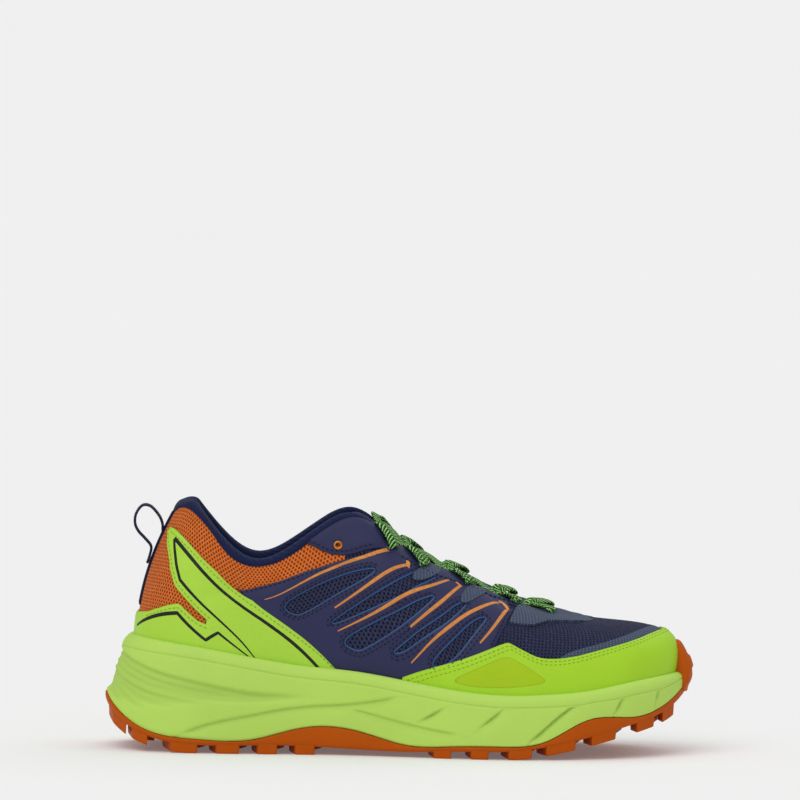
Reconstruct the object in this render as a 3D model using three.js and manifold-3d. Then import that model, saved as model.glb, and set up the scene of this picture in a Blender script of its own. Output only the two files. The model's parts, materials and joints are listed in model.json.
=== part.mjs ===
// A trail running shoe, right foot, standing empty on its sole. Millimetres, +Z up, toe towards +X,
// outer (lateral) side towards -Y. Every curved piece is worked out from one rib surface of the last.
import * as THREE from 'three';
import { mergeVertices } from 'three/addons/utils/BufferGeometryUtils.js';
import Module from 'manifold-3d';

const wasm = await Module();
wasm.setup();

// Driving dimensions of the last
const upperLength = 272.5;
const ballWidth = 96;
const collarWidth = 57;
const collarRise = 93;
const toeTurn = 6;
const heelInset = 17;

// Driving dimensions of the sole
const heelStack = 34;
const foreStack = 21;
const toeSpring = 16;
const heelCup = 23.4;
const soleSpread = 8;
const rimSpread = 6;
const outsoleSkin = 2;
const outsoleWrap = 2;
const lugDepth = 4.4;
const lipHeight = 6;
const lipStep = 0.9;
const rippleCount = 5;
const rippleDepth = 0.9;
const cutWidth = 3.2;
const cutDepth = 1;
const midsoleBelly = 0.6;
const bumperRise = 24;
const bumperReach = 1.1;
const bumperThickness = 3.4;

// Walls, pads and overlays
const wallThickness = 2.4;
const collarPad = 6;
const insoleThickness = 5;
const tongueThickness = 3.2;
const tonguePad = 7;
const tongueClearance = 1.1;
const tongueOverhang = 7;
const tongueCore = 30;
const overlayThickness = 1;
const fit = 0.3;
const laceWidth = 4.6;
const laceHeight = 2;
const laceLift = 1.3;
const eyeletRadius = 1.9;
const loopWidth = 11;
const loopBand = 1.3;

// How finely the surfaces are sampled. The panels share the upper's levels, so they lie along its facets.
const around = 48;
const rows = 14;
const bandLevels = [0.02, 0.2, 0.42, 0.64, 0.86];
const stayLow = 0.8;
const stayHigh = 0.97;

// One row for each station from the heel (0) to the toe (14). along and topAlong are shares of upperLength,
// lateral and medial of ballWidth, topHalf of collarWidth, topTurn of toeTurn, topRise of collarRise.
// heelPart and springPart raise the foot edge with the heel stack and the toe spring, cup is a share of heelCup.
const lastRows = [
  { along: 0.000, lateral: 0.000, medial: 0.000, topAlong: 0.072, topHalf: 0.000, topTurn: 0.00, topRise: 0.985 },
  { along: 0.011, lateral: 0.146, medial: 0.146, topAlong: 0.079, topHalf: 0.193, topTurn: 0.00, topRise: 0.990 },
  { along: 0.051, lateral: 0.266, medial: 0.266, topAlong: 0.103, topHalf: 0.351, topTurn: 0.00, topRise: 0.985 },
  { along: 0.121, lateral: 0.318, medial: 0.318, topAlong: 0.152, topHalf: 0.465, topTurn: 0.00, topRise: 0.833 },
  { along: 0.213, lateral: 0.328, medial: 0.323, topAlong: 0.217, topHalf: 0.500, topTurn: 0.00, topRise: 0.694 },
  { along: 0.308, lateral: 0.339, medial: 0.328, topAlong: 0.286, topHalf: 0.474, topTurn: 0.00, topRise: 0.758 },
  { along: 0.407, lateral: 0.370, medial: 0.339, topAlong: 0.352, topHalf: 0.412, topTurn: 0.00, topRise: 0.892 },
  { along: 0.506, lateral: 0.417, medial: 0.380, topAlong: 0.413, topHalf: 0.342, topTurn: 0.00, topRise: 0.935 },
  { along: 0.598, lateral: 0.469, medial: 0.443, topAlong: 0.484, topHalf: 0.307, topTurn: 0.08, topRise: 0.790 },
  { along: 0.683, lateral: 0.495, medial: 0.495, topAlong: 0.558, topHalf: 0.289, topTurn: 0.17, topRise: 0.664 },
  { along: 0.760, lateral: 0.484, medial: 0.516, topAlong: 0.631, topHalf: 0.272, topTurn: 0.25, topRise: 0.556 },
  { along: 0.837, lateral: 0.432, medial: 0.495, topAlong: 0.697, topHalf: 0.246, topTurn: 0.33, topRise: 0.476 },
  { along: 0.914, lateral: 0.323, medial: 0.417, topAlong: 0.747, topHalf: 0.184, topTurn: 0.38, topRise: 0.430 },
  { along: 0.974, lateral: 0.146, medial: 0.260, topAlong: 0.770, topHalf: 0.096, topTurn: 0.42, topRise: 0.409 },
  { along: 1.000, lateral: -0.0625, medial: 0.0625, topAlong: 0.776, topHalf: 0.000, topTurn: 0.42, topRise: 0.403 },
];

// How each rib bends between foot edge and top line: rise and drop are shares of its height,
// bulge of ballWidth, back of its level run from top line to foot edge.
const ribRows = [
  { rise: 0.335, bulge: 0.039, back: 0.87, drop: 0.33 },
  { rise: 0.335, bulge: 0.039, back: 0.87, drop: 0.33 },
  { rise: 0.340, bulge: 0.037, back: 0.85, drop: 0.33 },
  { rise: 0.340, bulge: 0.037, back: 0.90, drop: 0.33 },
  { rise: 0.340, bulge: 0.042, back: 1.00, drop: 0.33 },
  { rise: 0.360, bulge: 0.042, back: 0.95, drop: 0.33 },
  { rise: 0.380, bulge: 0.042, back: 0.85, drop: 0.30 },
  { rise: 0.400, bulge: 0.042, back: 0.75, drop: 0.28 },
  { rise: 0.420, bulge: 0.042, back: 0.64, drop: 0.22 },
  { rise: 0.450, bulge: 0.042, back: 0.57, drop: 0.14 },
  { rise: 0.500, bulge: 0.042, back: 0.53, drop: 0.09 },
  { rise: 0.600, bulge: 0.042, back: 0.52, drop: 0.06 },
  { rise: 0.750, bulge: 0.057, back: 0.56, drop: 0.08 },
  { rise: 0.950, bulge: 0.083, back: 0.62, drop: 0.13 },
  { rise: 1.100, bulge: 0.099, back: 0.65, drop: 0.16 },
];

// The sole at the same stations. heelPart, springPart and cup set the foot edge and the rim over it,
// base and split are heights as shares of heelStack, flare of soleSpread, rim of rimSpread.
const soleRows = [
  { heelPart: 1.000, springPart: 0.00, cup: 1.00, base: 0.700, split: 0.825, flare: 2.00, rim: 0.95 },
  { heelPart: 1.000, springPart: 0.00, cup: 1.00, base: 0.490, split: 0.620, flare: 1.94, rim: 0.95 },
  { heelPart: 1.000, springPart: 0.00, cup: 0.94, base: 0.215, split: 0.300, flare: 1.70, rim: 1.00 },
  { heelPart: 0.985, springPart: 0.00, cup: 0.83, base: 0.120, split: 0.206, flare: 1.44, rim: 1.08 },
  { heelPart: 0.920, springPart: 0.00, cup: 0.68, base: 0.126, split: 0.206, flare: 1.31, rim: 1.16 },
  { heelPart: 0.770, springPart: 0.00, cup: 0.60, base: 0.126, split: 0.390, flare: 1.05, rim: 1.16 },
  { heelPart: 0.540, springPart: 0.00, cup: 0.63, base: 0.095, split: 0.380, flare: 0.90, rim: 1.16 },
  { heelPart: 0.270, springPart: 0.00, cup: 0.60, base: 0.078, split: 0.178, flare: 0.94, rim: 1.08 },
  { heelPart: 0.080, springPart: 0.00, cup: 0.53, base: 0.105, split: 0.178, flare: 1.00, rim: 1.00 },
  { heelPart: 0.000, springPart: 0.00, cup: 0.49, base: 0.118, split: 0.190, flare: 1.00, rim: 1.00 },
  { heelPart: 0.000, springPart: 0.00, cup: 0.51, base: 0.190, split: 0.275, flare: 0.96, rim: 1.00 },
  { heelPart: 0.000, springPart: 0.12, cup: 0.50, base: 0.335, split: 0.605, flare: 0.96, rim: 1.00 },
  { heelPart: 0.000, springPart: 0.41, cup: 0.47, base: 0.515, split: 0.620, flare: 0.92, rim: 0.96 },
  { heelPart: 0.000, springPart: 0.81, cup: 0.31, base: 0.710, split: 0.830, flare: 0.84, rim: 0.92 },
  { heelPart: 0.000, springPart: 1.00, cup: 0.21, base: 0.920, split: 1.050, flare: 0.80, rim: 0.88 },
];

// Smooth closed curve through evenly spaced values, over u from 0 to 1
function closedCurve(values) {
  const count = values.length;
  const at = (list, index) => list[(index + count) % count];
  let knots = values.slice();
  for (let pass = 0; pass < 40; pass += 1) {
    knots = values.map((value, i) => (6 * value - at(knots, i - 1) - at(knots, i + 1)) / 4);
  }
  return (u) => {
    const place = (u - Math.floor(u)) * count;
    const i = Math.floor(place);
    const f = place - i;
    const weights = [(1 - f) ** 3, 3 * f ** 3 - 6 * f * f + 4, -3 * f ** 3 + 3 * f * f + 3 * f + 1, f ** 3];
    return weights.reduce((sum, weight, k) => sum + (weight * at(knots, i + k - 1)) / 6, 0);
  };
}

// A table column as a curve around the shoe: heel, lateral side, toe, medial side
function column(table, name, medialName = name, lateralSign = 1) {
  const lateral = table.map((row) => lateralSign * row[name]);
  const medial = table.slice(1, rows).map((row) => row[medialName]).reverse();
  return closedCurve([...lateral, ...medial]);
}

const along = column(lastRows, 'along');
const sideways = column(lastRows, 'lateral', 'medial', -1);
const topAlong = column(lastRows, 'topAlong');
const topSideways = column(lastRows, 'topHalf', 'topHalf', -1);
const topTurn = column(lastRows, 'topTurn');
const topRise = column(lastRows, 'topRise');
const ribRise = column(ribRows, 'rise');
const ribBulge = column(ribRows, 'bulge');
const ribBack = column(ribRows, 'back');
const ribDrop = column(ribRows, 'drop');
const heelPart = column(soleRows, 'heelPart');
const springPart = column(soleRows, 'springPart');
const cup = column(soleRows, 'cup');
const base = column(soleRows, 'base');
const split = column(soleRows, 'split');
const flare = column(soleRows, 'flare');
const rim = column(soleRows, 'rim');

const point = (x, y, z) => new THREE.Vector3(x, y, z);
const mix = THREE.MathUtils.lerp;
const station = (row) => row / (2 * rows);

// Foot edge of the upper's outer face, down in the recess of the midsole
function footEdge(u) {
  const seat = foreStack + (heelStack - foreStack) * heelPart(u) + toeSpring * springPart(u);
  return point(heelInset + upperLength * along(u), ballWidth * sideways(u), seat);
}

// Top line: the collar, the two throat edges and the bottom of the throat
function topLine(u) {
  const y = collarWidth * topSideways(u) + toeTurn * topTurn(u);
  return point(heelInset + upperLength * topAlong(u), y, heelStack + collarRise * topRise(u));
}

function outward(u) {
  const step = 0.002;
  const run = footEdge(u + step).sub(footEdge(u - step));
  return point(run.y, -run.x, 0).normalize();
}

// The last's surface: a rib for each u, v from 0 at the foot edge to 1 at the top line
function rib(u, v) {
  const foot = footEdge(u);
  const top = topLine(u);
  const height = top.z - foot.z;
  const low = foot.clone().addScaledVector(outward(u), ballWidth * ribBulge(u));
  low.z += ribRise(u) * height;
  const high = top.clone().lerp(foot, ribBack(u));
  high.z = top.z - ribDrop(u) * height;
  const w = 1 - v;
  return foot.multiplyScalar(w ** 3).addScaledVector(low, 3 * w * w * v)
    .addScaledVector(high, 3 * w * v * v).addScaledVector(top, v ** 3);
}

function ribNormal(u, v) {
  const step = 0.002;
  const down = Math.max(v - step, 0);
  const up = Math.min(v + step, 1);
  const alongShoe = rib(u + step, v).sub(rib(u - step, v));
  const upRib = rib(u, up).sub(rib(u, down));
  return alongShoe.cross(upRib).normalize();
}

const rimHeight = (u) => footEdge(u).z + heelCup * cup(u);

// v where the rib passes the midsole's rim
function rimPlace(u) {
  const height = rimHeight(u);
  let low = 0;
  let high = 0.7;
  for (let pass = 0; pass < 30; pass += 1) {
    const middle = (low + high) / 2;
    if (rib(u, middle).z < height) {
      low = middle;
    } else {
      high = middle;
    }
  }
  return low;
}

// Level q on a rib: -1 at the foot edge, 0 at the midsole's rim, 1 at the top line
function level(u, q) {
  const rimV = rimPlace(u);
  return q < 0 ? rimV * (1 + q) : mix(rimV, 1, q);
}

function skin(u, q, offset) {
  const v = level(u, q);
  return rib(u, v).addScaledVector(ribNormal(u, v), offset);
}

// Share of the collar's padding at a place: full round the ankle, none along the throat
const collarShare = closedCurve([...Array(2 * rows).keys()].map((i) => {
  const row = Math.min(i, 2 * rows - i);
  return THREE.MathUtils.clamp(7 - row, 0, 1);
}));

function wallAt(u, q) {
  const swell = THREE.MathUtils.smoothstep(q, 0.35, 0.8) * mix(1, 0.75, THREE.MathUtils.smoothstep(q, 0.85, 1));
  return wallThickness + collarPad * Math.max(collarShare(u), 0) * swell;
}

// Closed body from rings of equal length. ends: 'ring' joins last to first, 'rungs' closes each end
// with strips from side to side, with the first point on the middle line, 'strip' closes flat bands.
function ringGeometry(rings, ends) {
  const count = rings[0].length;
  const faces = [];
  const quad = (a, b, c, d) => {
    if (a !== b && b !== c && a !== c) {
      faces.push([a, b, c]);
    }
    if (a !== c && c !== d && a !== d) {
      faces.push([a, c, d]);
    }
  };
  const half = count / 2;
  const turns = ends === 'ring' ? rings.length : rings.length - 1;
  for (let r = 0; r < turns; r += 1) {
    const here = r * count;
    const next = ((r + 1) % rings.length) * count;
    for (let c = 0; c < count; c += 1) {
      const d = (c + 1) % count;
      if (ends === 'strip' && c >= half) {
        quad(here + d, next + d, next + c, here + c);
      } else {
        quad(here + c, here + d, next + d, next + c);
      }
    }
  }
  const closeEnd = (start, turned) => {
    for (let c = 0; c < (ends === 'rungs' ? half : half - 1); c += 1) {
      const far = ends === 'rungs' ? (count - c) % count : count - 1 - c;
      const nextFar = ends === 'rungs' ? count - c - 1 : far - 1;
      const corners = [start + c, start + c + 1, start + nextFar, start + far];
      quad(...(turned ? corners.reverse() : corners));
    }
  };
  if (ends !== 'ring') {
    closeEnd(0, true);
    closeEnd((rings.length - 1) * count, false);
  }
  const places = rings.flat();
  let volume = 0;
  faces.forEach(([a, b, c]) => {
    volume += places[a].dot(places[b].clone().cross(places[c]));
  });
  const geometry = new THREE.BufferGeometry();
  geometry.setAttribute('position', new THREE.Float32BufferAttribute(places.flatMap((p) => [p.x, p.y, p.z]), 3));
  geometry.setIndex(faces.flatMap(([a, b, c]) => (volume < 0 ? [a, c, b] : [a, b, c])));
  return geometry;
}

function ringOf(make) {
  return [...Array(around).keys()].map((i) => make(i / around));
}

// Patch of shell from one row of the table to another, on the sampled columns nearest to them,
// between two offsets from the surface
function patchGeometry([fromRow, toRow], levels, inner, outer) {
  const columnAt = (row) => Math.round((row * around) / (2 * rows));
  const rings = [];
  for (let i = columnAt(fromRow); i <= columnAt(toRow); i += 1) {
    const u = i / around;
    rings.push([
      ...levels.map((q) => skin(u, q, outer)),
      ...levels.map((q) => skin(u, q, inner)).reverse(),
    ]);
  }
  return ringGeometry(rings, 'strip');
}

const rowsOf = (side, from, to) => (side < 0 ? [from, to] : [2 * rows - to, 2 * rows - from]);

// Solids for cuts and joins
function toSolid(geometry) {
  const bare = geometry.clone();
  bare.deleteAttribute('normal');
  bare.deleteAttribute('uv');
  const merged = mergeVertices(bare, 1e-4);
  return new wasm.Manifold(new wasm.Mesh({
    numProp: 3,
    vertProperties: new Float32Array(merged.attributes.position.array),
    triVerts: new Uint32Array(merged.index.array),
  }));
}

function toGeometry(solid) {
  const mesh = solid.getMesh();
  const geometry = new THREE.BufferGeometry();
  geometry.setAttribute('position', new THREE.BufferAttribute(mesh.vertProperties, 3));
  geometry.setIndex(new THREE.BufferAttribute(mesh.triVerts, 1));
  return geometry;
}

const joined = (geometries) => geometries.map(toSolid).reduce((sum, solid) => sum.add(solid));

// Side-view place of a point given as shares of the upper's length and rise
const onSide = ([share, rise]) => new THREE.Vector2(heelInset + upperLength * share, heelStack + collarRise * rise);

// Prism of a side-view shape across the shoe
function prismAcross(shape, fromY, toY) {
  const prism = new THREE.ExtrudeGeometry(shape, { depth: toY - fromY, bevelEnabled: false, curveSegments: 4 });
  prism.rotateX(Math.PI / 2);
  prism.translate(0, toY, 0);
  return prism;
}

const shoe = new THREE.Group();

function addPiece(name, geometry, color, roughness) {
  const finish = new THREE.MeshStandardMaterial({ color, roughness, metalness: 0 });
  const mesh = new THREE.Mesh(geometry, finish);
  mesh.name = name;
  shoe.add(mesh);
}

// Upper: one hollow wall, open at collar and throat and underneath
function upperGeometry() {
  const innerLevels = [0.97, 0.84, 0.6, 0.3, 0, -1];
  const rings = [-1, -0.5, 0, ...bandLevels.slice(1), 0.96].map((q) => ringOf((u) => skin(u, q, 0)));
  for (const turn of [0.2, 0.8]) {
    rings.push(ringOf((u) => {
      const wall = wallAt(u, 1);
      const angle = Math.PI * turn;
      const upRib = rib(u, 1).sub(rib(u, 0.98)).normalize();
      return skin(u, 1, (-wall * (1 - Math.cos(angle))) / 2).addScaledVector(upRib, wall * 0.3 * Math.sin(angle));
    }));
  }
  innerLevels.forEach((q) => rings.push(ringOf((u) => skin(u, q, -wallAt(u, q)))));
  return ringGeometry(rings, 'ring');
}

// Sidewall of the sole: t from 0 at the split with the outsole to 1 at the rim
const splitHeight = (u) => heelStack * split(u);
const baseHeight = (u) => heelStack * base(u);
const flareOut = (u) => soleSpread * flare(u);
const rimOut = (u) => rimSpread * rim(u);

function sidewall(u, t, inset = 0) {
  const belly = midsoleBelly * Math.sin(Math.PI * Math.min(t, 1));
  const spread = mix(flareOut(u), rimOut(u), t ** 1.15) + belly - inset;
  const place = footEdge(u).addScaledVector(outward(u), spread);
  place.z = mix(splitHeight(u) + fit, rimHeight(u), t);
  return place;
}

// Share of the sidewall's height that the lip round the rim takes
function lipShare(u) {
  const height = rimHeight(u) - splitHeight(u);
  return Math.min(lipHeight, 0.4 * height) / height;
}

// Crests and troughs that sweep round the heel and down to the front, one ring each
function rippleRings() {
  return [...Array(2 * rippleCount + 1).keys()].map((i) => ringOf((u) => {
    const row = 2 * rows * Math.min(u, 1 - u);
    const sweep = 1 + 0.9 * THREE.MathUtils.smoothstep(row, 0, 4.5);
    const fade = 1 - THREE.MathUtils.smoothstep(row, 2.5, 5.5);
    const inset = i % 2 === 1 ? rippleDepth * fade : 0;
    return sidewall(u, (1 - 1.25 * lipShare(u)) * (i / (2 * rippleCount)) ** sweep, inset);
  }));
}

// Cuts in the foam's side, as [row, level] on the sidewall: the crease that leaves the heel ripples
// and forks at the waist, and the slashes of the forefoot
const sideCuts = [
  [[2.6, 0.03], [3.4, 0.22], [4.25, 0.32], [5.4, 0.33], [6, 0.42], [6.85, 0.72]],
  [[5.9, 0.34], [6.9, 0.33], [7.3, 0.31], [8.1, 0.2]],
  [[7.25, 0.38], [7.8, 0.68]],
  [[8.5, 0.34], [9.03, 0.75]],
  [[9.6, 0.06], [10.1, 0.36], [10.7, 0.66]],
  [[11.5, 0.06], [11.75, 0.72]],
  [[12.5, 0.15], [12.65, 0.74]],
];

function sideCutGeometry(path, side) {
  const line = new THREE.SplineCurve(path.map(([row, t]) => new THREE.Vector2(row, t)));
  const steps = Math.ceil((path[path.length - 1][0] - path[0][0]) * 1.4) + 1;
  const place = (k) => {
    const spot = line.getPoint(THREE.MathUtils.clamp(k, 0, 1));
    const u = side < 0 ? station(spot.x) : 1 - station(spot.x);
    return { at: sidewall(u, spot.y), out: outward(u) };
  };
  const rings = [...Array(steps + 1).keys()].map((i) => {
    const k = i / steps;
    const { at, out } = place(k);
    const run = place(k + 0.02).at.sub(place(k - 0.02).at).normalize();
    const across = run.cross(out).normalize();
    const depth = i === 0 || i === steps ? 0.3 * cutDepth : cutDepth;
    const corner = (a, b) => at.clone().addScaledVector(across, a * cutWidth).addScaledVector(out, b);
    return [corner(-0.5, cutDepth), corner(0.5, cutDepth), corner(0.05, -depth), corner(-0.05, -depth)];
  });
  return ringGeometry(rings, 'strip');
}

function midsoleSolid() {
  const traySeat = (u) => baseHeight(u) + outsoleSkin + fit;
  const inTray = (u, z) => {
    const place = footEdge(u).addScaledVector(outward(u), flareOut(u) - outsoleWrap - fit);
    return place.setZ(z);
  };
  const rings = [
    ringOf((u) => inTray(u, traySeat(u))),
    ringOf((u) => inTray(u, splitHeight(u) + fit)),
    ...rippleRings(),
    ringOf((u) => sidewall(u, 1 - 1.05 * lipShare(u), lipStep)),
    ringOf((u) => sidewall(u, 1 - 0.9 * lipShare(u))),
    ringOf((u) => sidewall(u, 1 - 0.12 * lipShare(u))),
    ringOf((u) => sidewall(u, 1, lipStep)),
    ringOf((u) => skin(u, 0, fit)),
    ringOf((u) => skin(u, -0.5, fit)),
    ringOf((u) => skin(u, -1, fit).setZ(footEdge(u).z - fit)),
  ];
  let foam = toSolid(ringGeometry(rings, 'rungs'));
  for (const side of [-1, 1]) {
    for (const path of sideCuts) {
      foam = foam.subtract(toSolid(sideCutGeometry(path, side)));
    }
  }
  return foam;
}

// Outsole: a shallow tray under the midsole, its lugs, and the bumper up the toe
function trayRing(u, spread, z) {
  const place = footEdge(u).addScaledVector(outward(u), spread);
  place.z = z;
  return place;
}

const baseEdge = (u) => trayRing(u, flareOut(u) - 2.2, baseHeight(u));

function trayGeometry() {
  const rings = [
    ringOf(baseEdge),
    ringOf((u) => trayRing(u, flareOut(u) + 0.3, baseHeight(u) + 1.6)),
    ringOf((u) => trayRing(u, flareOut(u) + 0.4, splitHeight(u))),
    ringOf((u) => trayRing(u, flareOut(u) - outsoleWrap, splitHeight(u))),
    ringOf((u) => trayRing(u, flareOut(u) - outsoleWrap, baseHeight(u) + outsoleSkin)),
  ];
  return ringGeometry(rings, 'rungs');
}

// Underside height and half widths at a place along the shoe
function underside(x) {
  let low = 0;
  let high = 0.5;
  for (let pass = 0; pass < 30; pass += 1) {
    const middle = (low + high) / 2;
    if (baseEdge(middle).x < x) {
      low = middle;
    } else {
      high = middle;
    }
  }
  const lateral = baseEdge(low);
  const medial = baseEdge(1 - low);
  return { height: lateral.z, lateral: lateral.y, medial: medial.y };
}

// Lug from a plan outline of [x, y] points, tapered towards the ground
function lugGeometry(outline) {
  const middle = outline.reduce((sum, [x, y]) => [sum[0] + x / outline.length, sum[1] + y / outline.length], [0, 0]);
  const taper = 0.9;
  const flat = outline.map(([x, y]) => new THREE.Vector2(x, y));
  const rootRing = flat.map((p) => point(p.x, p.y, underside(p.x).height + outsoleSkin / 2));
  const footRing = flat.map((p) => {
    const x = mix(middle[0], p.x, taper);
    const y = mix(middle[1], p.y, taper);
    return point(x, y, Math.max(0, underside(x).height - lugDepth));
  });
  const count = flat.length;
  const faces = THREE.ShapeUtils.triangulateShape(flat, []);
  const index = faces.flatMap(([a, b, c]) => [a, b, c, count + a, count + c, count + b]);
  for (let i = 0; i < count; i += 1) {
    const j = (i + 1) % count;
    index.push(i, count + i, count + j, i, count + j, j);
  }
  const geometry = new THREE.BufferGeometry();
  const places = [...rootRing, ...footRing].flatMap((p) => [p.x, p.y, p.z]);
  geometry.setAttribute('position', new THREE.Float32BufferAttribute(places, 3));
  geometry.setIndex(index);
  return geometry;
}

// Rows of lugs along the sole: start and length as shares of upperLength, how far the outer lugs reach
// towards the middle line, and whether an arrow-shaped lug stands between them
const lugRows = [
  { from: 0.018, length: 0.026, reach: 0.82, centre: false },
  { from: 0.055, length: 0.029, reach: 0.63, centre: true },
  { from: 0.127, length: 0.051, reach: 0.54, centre: true },
  { from: 0.212, length: 0.044, reach: 0.54, centre: true },
  { from: 0.289, length: 0.037, reach: 0.54, centre: true },
  { from: 0.359, length: 0.037, reach: 0.54, centre: true },
  { from: 0.617, length: 0.033, reach: 0.51, centre: true },
  { from: 0.686, length: 0.033, reach: 0.51, centre: true },
  { from: 0.756, length: 0.044, reach: 0.51, centre: true },
  { from: 0.826, length: 0.055, reach: 0.51, centre: true },
  { from: 0.910, length: 0.046, reach: 0.54, centre: true },
  { from: 0.994, length: 0.033, reach: 0.60, centre: true },
  { from: 1.042, length: 0.022, reach: 0.82, centre: false },
];
const lugSweep = 0.35;
const lugMargin = 0.02;
const arrowWidth = 0.26;
const arrowTip = 3;

function lugGeometries() {
  const lugs = [];
  for (const { from, length, reach, centre } of lugRows) {
    const run = upperLength * length;
    const start = upperLength * from;
    const end = start + run;
    const back = underside(start);
    const front = underside(end);
    for (const side of ['lateral', 'medial']) {
      const other = side === 'lateral' ? 'medial' : 'lateral';
      const across = (place, share) => mix(place[side], (place[side] + place[other]) / 2, share);
      const corners = [
        [start, across(back, lugMargin)],
        [end, across(front, lugMargin)],
        [end - lugSweep * run, across(front, reach)],
        [start - lugSweep * run, across(back, reach)],
      ];
      lugs.push(side === 'lateral' ? corners : corners.reverse());
    }
    if (centre) {
      const y = (back.lateral + back.medial) / 2;
      const half = ((back.medial - back.lateral) * arrowWidth) / 2;
      const heel = start + lugSweep * run;
      const toe = heel + 0.7 * run;
      lugs.push([[heel, y - half], [toe, y - half], [toe + arrowTip, y], [toe, y + half], [heel, y + half],
        [heel + arrowTip, y]]);
    }
  }
  return lugs.map(lugGeometry);
}

// How far the rib stands out from the foot edge at a height
function ribSpread(u, z) {
  let low = 0;
  let high = 0.45;
  for (let pass = 0; pass < 30; pass += 1) {
    const middle = (low + high) / 2;
    if (rib(u, middle).z < z) {
      low = middle;
    } else {
      high = middle;
    }
  }
  return rib(u, low).sub(footEdge(u)).dot(outward(u));
}

// Toe bumper: a rubber shell from the tray up over the front of the rim and the toe rand
function bumperGeometry() {
  const steps = 10;
  const rings = [...Array(steps + 1).keys()].map((i) => {
    const across = mix(-1, 1, i / steps);
    const u = 0.5 + station(bumperReach * across);
    const foot = footEdge(u);
    const out = outward(u);
    const seam = splitHeight(u);
    const top = mix(seam + 1, foot.z + bumperRise, 1 - across ** 4);
    const heights = [seam - 3, seam - 1.2, seam - 2 * fit, mix(seam, top, 0.3), mix(seam, top, 0.65), top];
    const place = (spread, z) => foot.clone().addScaledVector(out, spread).setZ(z);
    const outer = [];
    const inner = [];
    heights.forEach((z, k) => {
      const overRim = THREE.MathUtils.smoothstep(z, rimHeight(u), foot.z + bumperRise);
      const overSole = Math.max(flareOut(u), rimOut(u)) + midsoleBelly + fit;
      const overRand = ribSpread(u, z) + 4 * fit + overlayThickness;
      const clear = mix(overSole, overRand, overRim);
      const gap = k < 2 ? flareOut(u) - outsoleWrap / 2 : clear;
      const thick = mix(bumperThickness, bumperThickness / 2, k / (heights.length - 1));
      outer.push(place(clear + thick, z));
      inner.push(place(gap, z));
    });
    return [...outer, ...inner.reverse()];
  });
  return ringGeometry(rings, 'strip');
}

// Insole inside the upper, on the midsole
function insoleGeometry() {
  const edge = (u, lift) => {
    const place = skin(u, -1, 0).addScaledVector(outward(u), -wallThickness - 2 * fit);
    return place.setZ(footEdge(u).z + lift);
  };
  return ringGeometry([
    ringOf((u) => edge(u, fit)),
    ringOf((u) => edge(u, insoleThickness)),
  ], 'rungs');
}

// Throat: place s from 0 at its top corner to 1 at its bottom, f from -1 lateral to 1 medial
const throatTopRow = 7;
const throatU = (s) => station(mix(throatTopRow, rows, s));

function throat(s, f, lift) {
  const lateral = topLine(throatU(s));
  const medial = topLine(1 - throatU(s));
  const step = 0.01;
  const run = topLine(throatU(Math.max(s - step, 0))).sub(topLine(throatU(Math.min(s + step, 1))));
  const chord = medial.clone().sub(lateral);
  const up = point(-run.z, 0, run.x).normalize();
  if (up.z < 0) {
    up.negate();
  }
  const crown = chord.length() * 0.09;
  return lateral.lerp(medial, (f + 1) / 2).addScaledVector(up, crown * (1 - f * f) + lift);
}

// Tongue: its outer face lies under the throat and the eyestays, and its inner face lies towards a
// core line down in the foot room
function tongueGeometry() {
  const places = [0, 1, 3, 5, 7, 9, 11, 13].map((step) => step / 15);
  const wings = [0.84, 0.92];
  const middles = [-0.92, -0.5, 0, 0.5, 0.92];
  const section = (s) => {
    const u = throatU(s);
    const sink = wallThickness + tongueClearance;
    const under = (side, q) => skin(side < 0 ? u : 1 - u, q, -wallAt(u, q) - tongueClearance);
    const outer = [
      ...wings.map((q) => under(-1, q)),
      ...middles.map((f) => throat(s, f, -sink)),
      ...wings.slice().reverse().map((q) => under(1, q)),
    ];
    const core = throat(s, 0, -tongueCore);
    const inner = outer.map((p, i) => {
      const f = mix(-1, 1, i / (outer.length - 1));
      const thick = tongueThickness + tonguePad * (1 - s) ** 2 * (1 - f * f);
      return p.clone().addScaledVector(core.clone().sub(p).normalize(), thick);
    });
    return [...outer, ...inner.reverse()];
  };
  const rings = places.map(section);
  const top = rings[0];
  const lean = rings[0][4].clone().sub(rings[1][4]).normalize();
  const middle = top.reduce((sum, p) => sum.add(p), point(0, 0, 0)).divideScalar(top.length);
  rings.unshift(top.map((p) => p.clone().lerp(middle, 0.3).addScaledVector(lean, tongueOverhang)));
  return ringGeometry(rings, 'strip');
}

// Side-view outlines of the panels, as [along, rise]: shares of upperLength from the heel seat and of
// collarRise from the heel's foot edge
const heelPanel = [
  [0.064, 0.871], [0.059, 0.828], [0.062, 0.726], [0.068, 0.597], [0.083, 0.505], [0.134, 0.366],
  [0.130, 0.339], [0.116, 0.360], [0.084, 0.446], [0.073, 0.452], [0.044, 0.430], [-0.026, 0.366],
  [-0.062, 0.344], [-0.062, -0.043], [0.393, -0.043], [0.393, 0.075], [0.187, 0.538],
];
const toePanel = [
  [0.495, -0.151], [0.495, 0.037], [0.528, 0.071], [0.585, 0.122], [0.642, 0.180], [0.684, 0.230],
  [0.694, 0.232], [0.728, 0.181], [0.749, 0.158], [0.771, 0.153], [0.811, 0.165], [0.866, 0.208],
  [0.925, 0.259], [0.963, 0.310], [0.983, 0.353], [0.994, 0.430], [1.112, 0.430], [1.112, -0.151],
];
const saddlePanel = [
  [0.202, 0.533], [0.239, 0.566], [0.308, 0.631], [0.354, 0.671], [0.393, 0.708], [0.431, 0.732],
  [0.495, 0.755], [0.703, 0.755], [0.703, 0.444], [0.670, 0.247], [0.642, 0.186], [0.585, 0.128],
  [0.528, 0.077], [0.495, 0.043], [0.495, -0.043], [0.396, -0.043], [0.396, 0.080],
];
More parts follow.
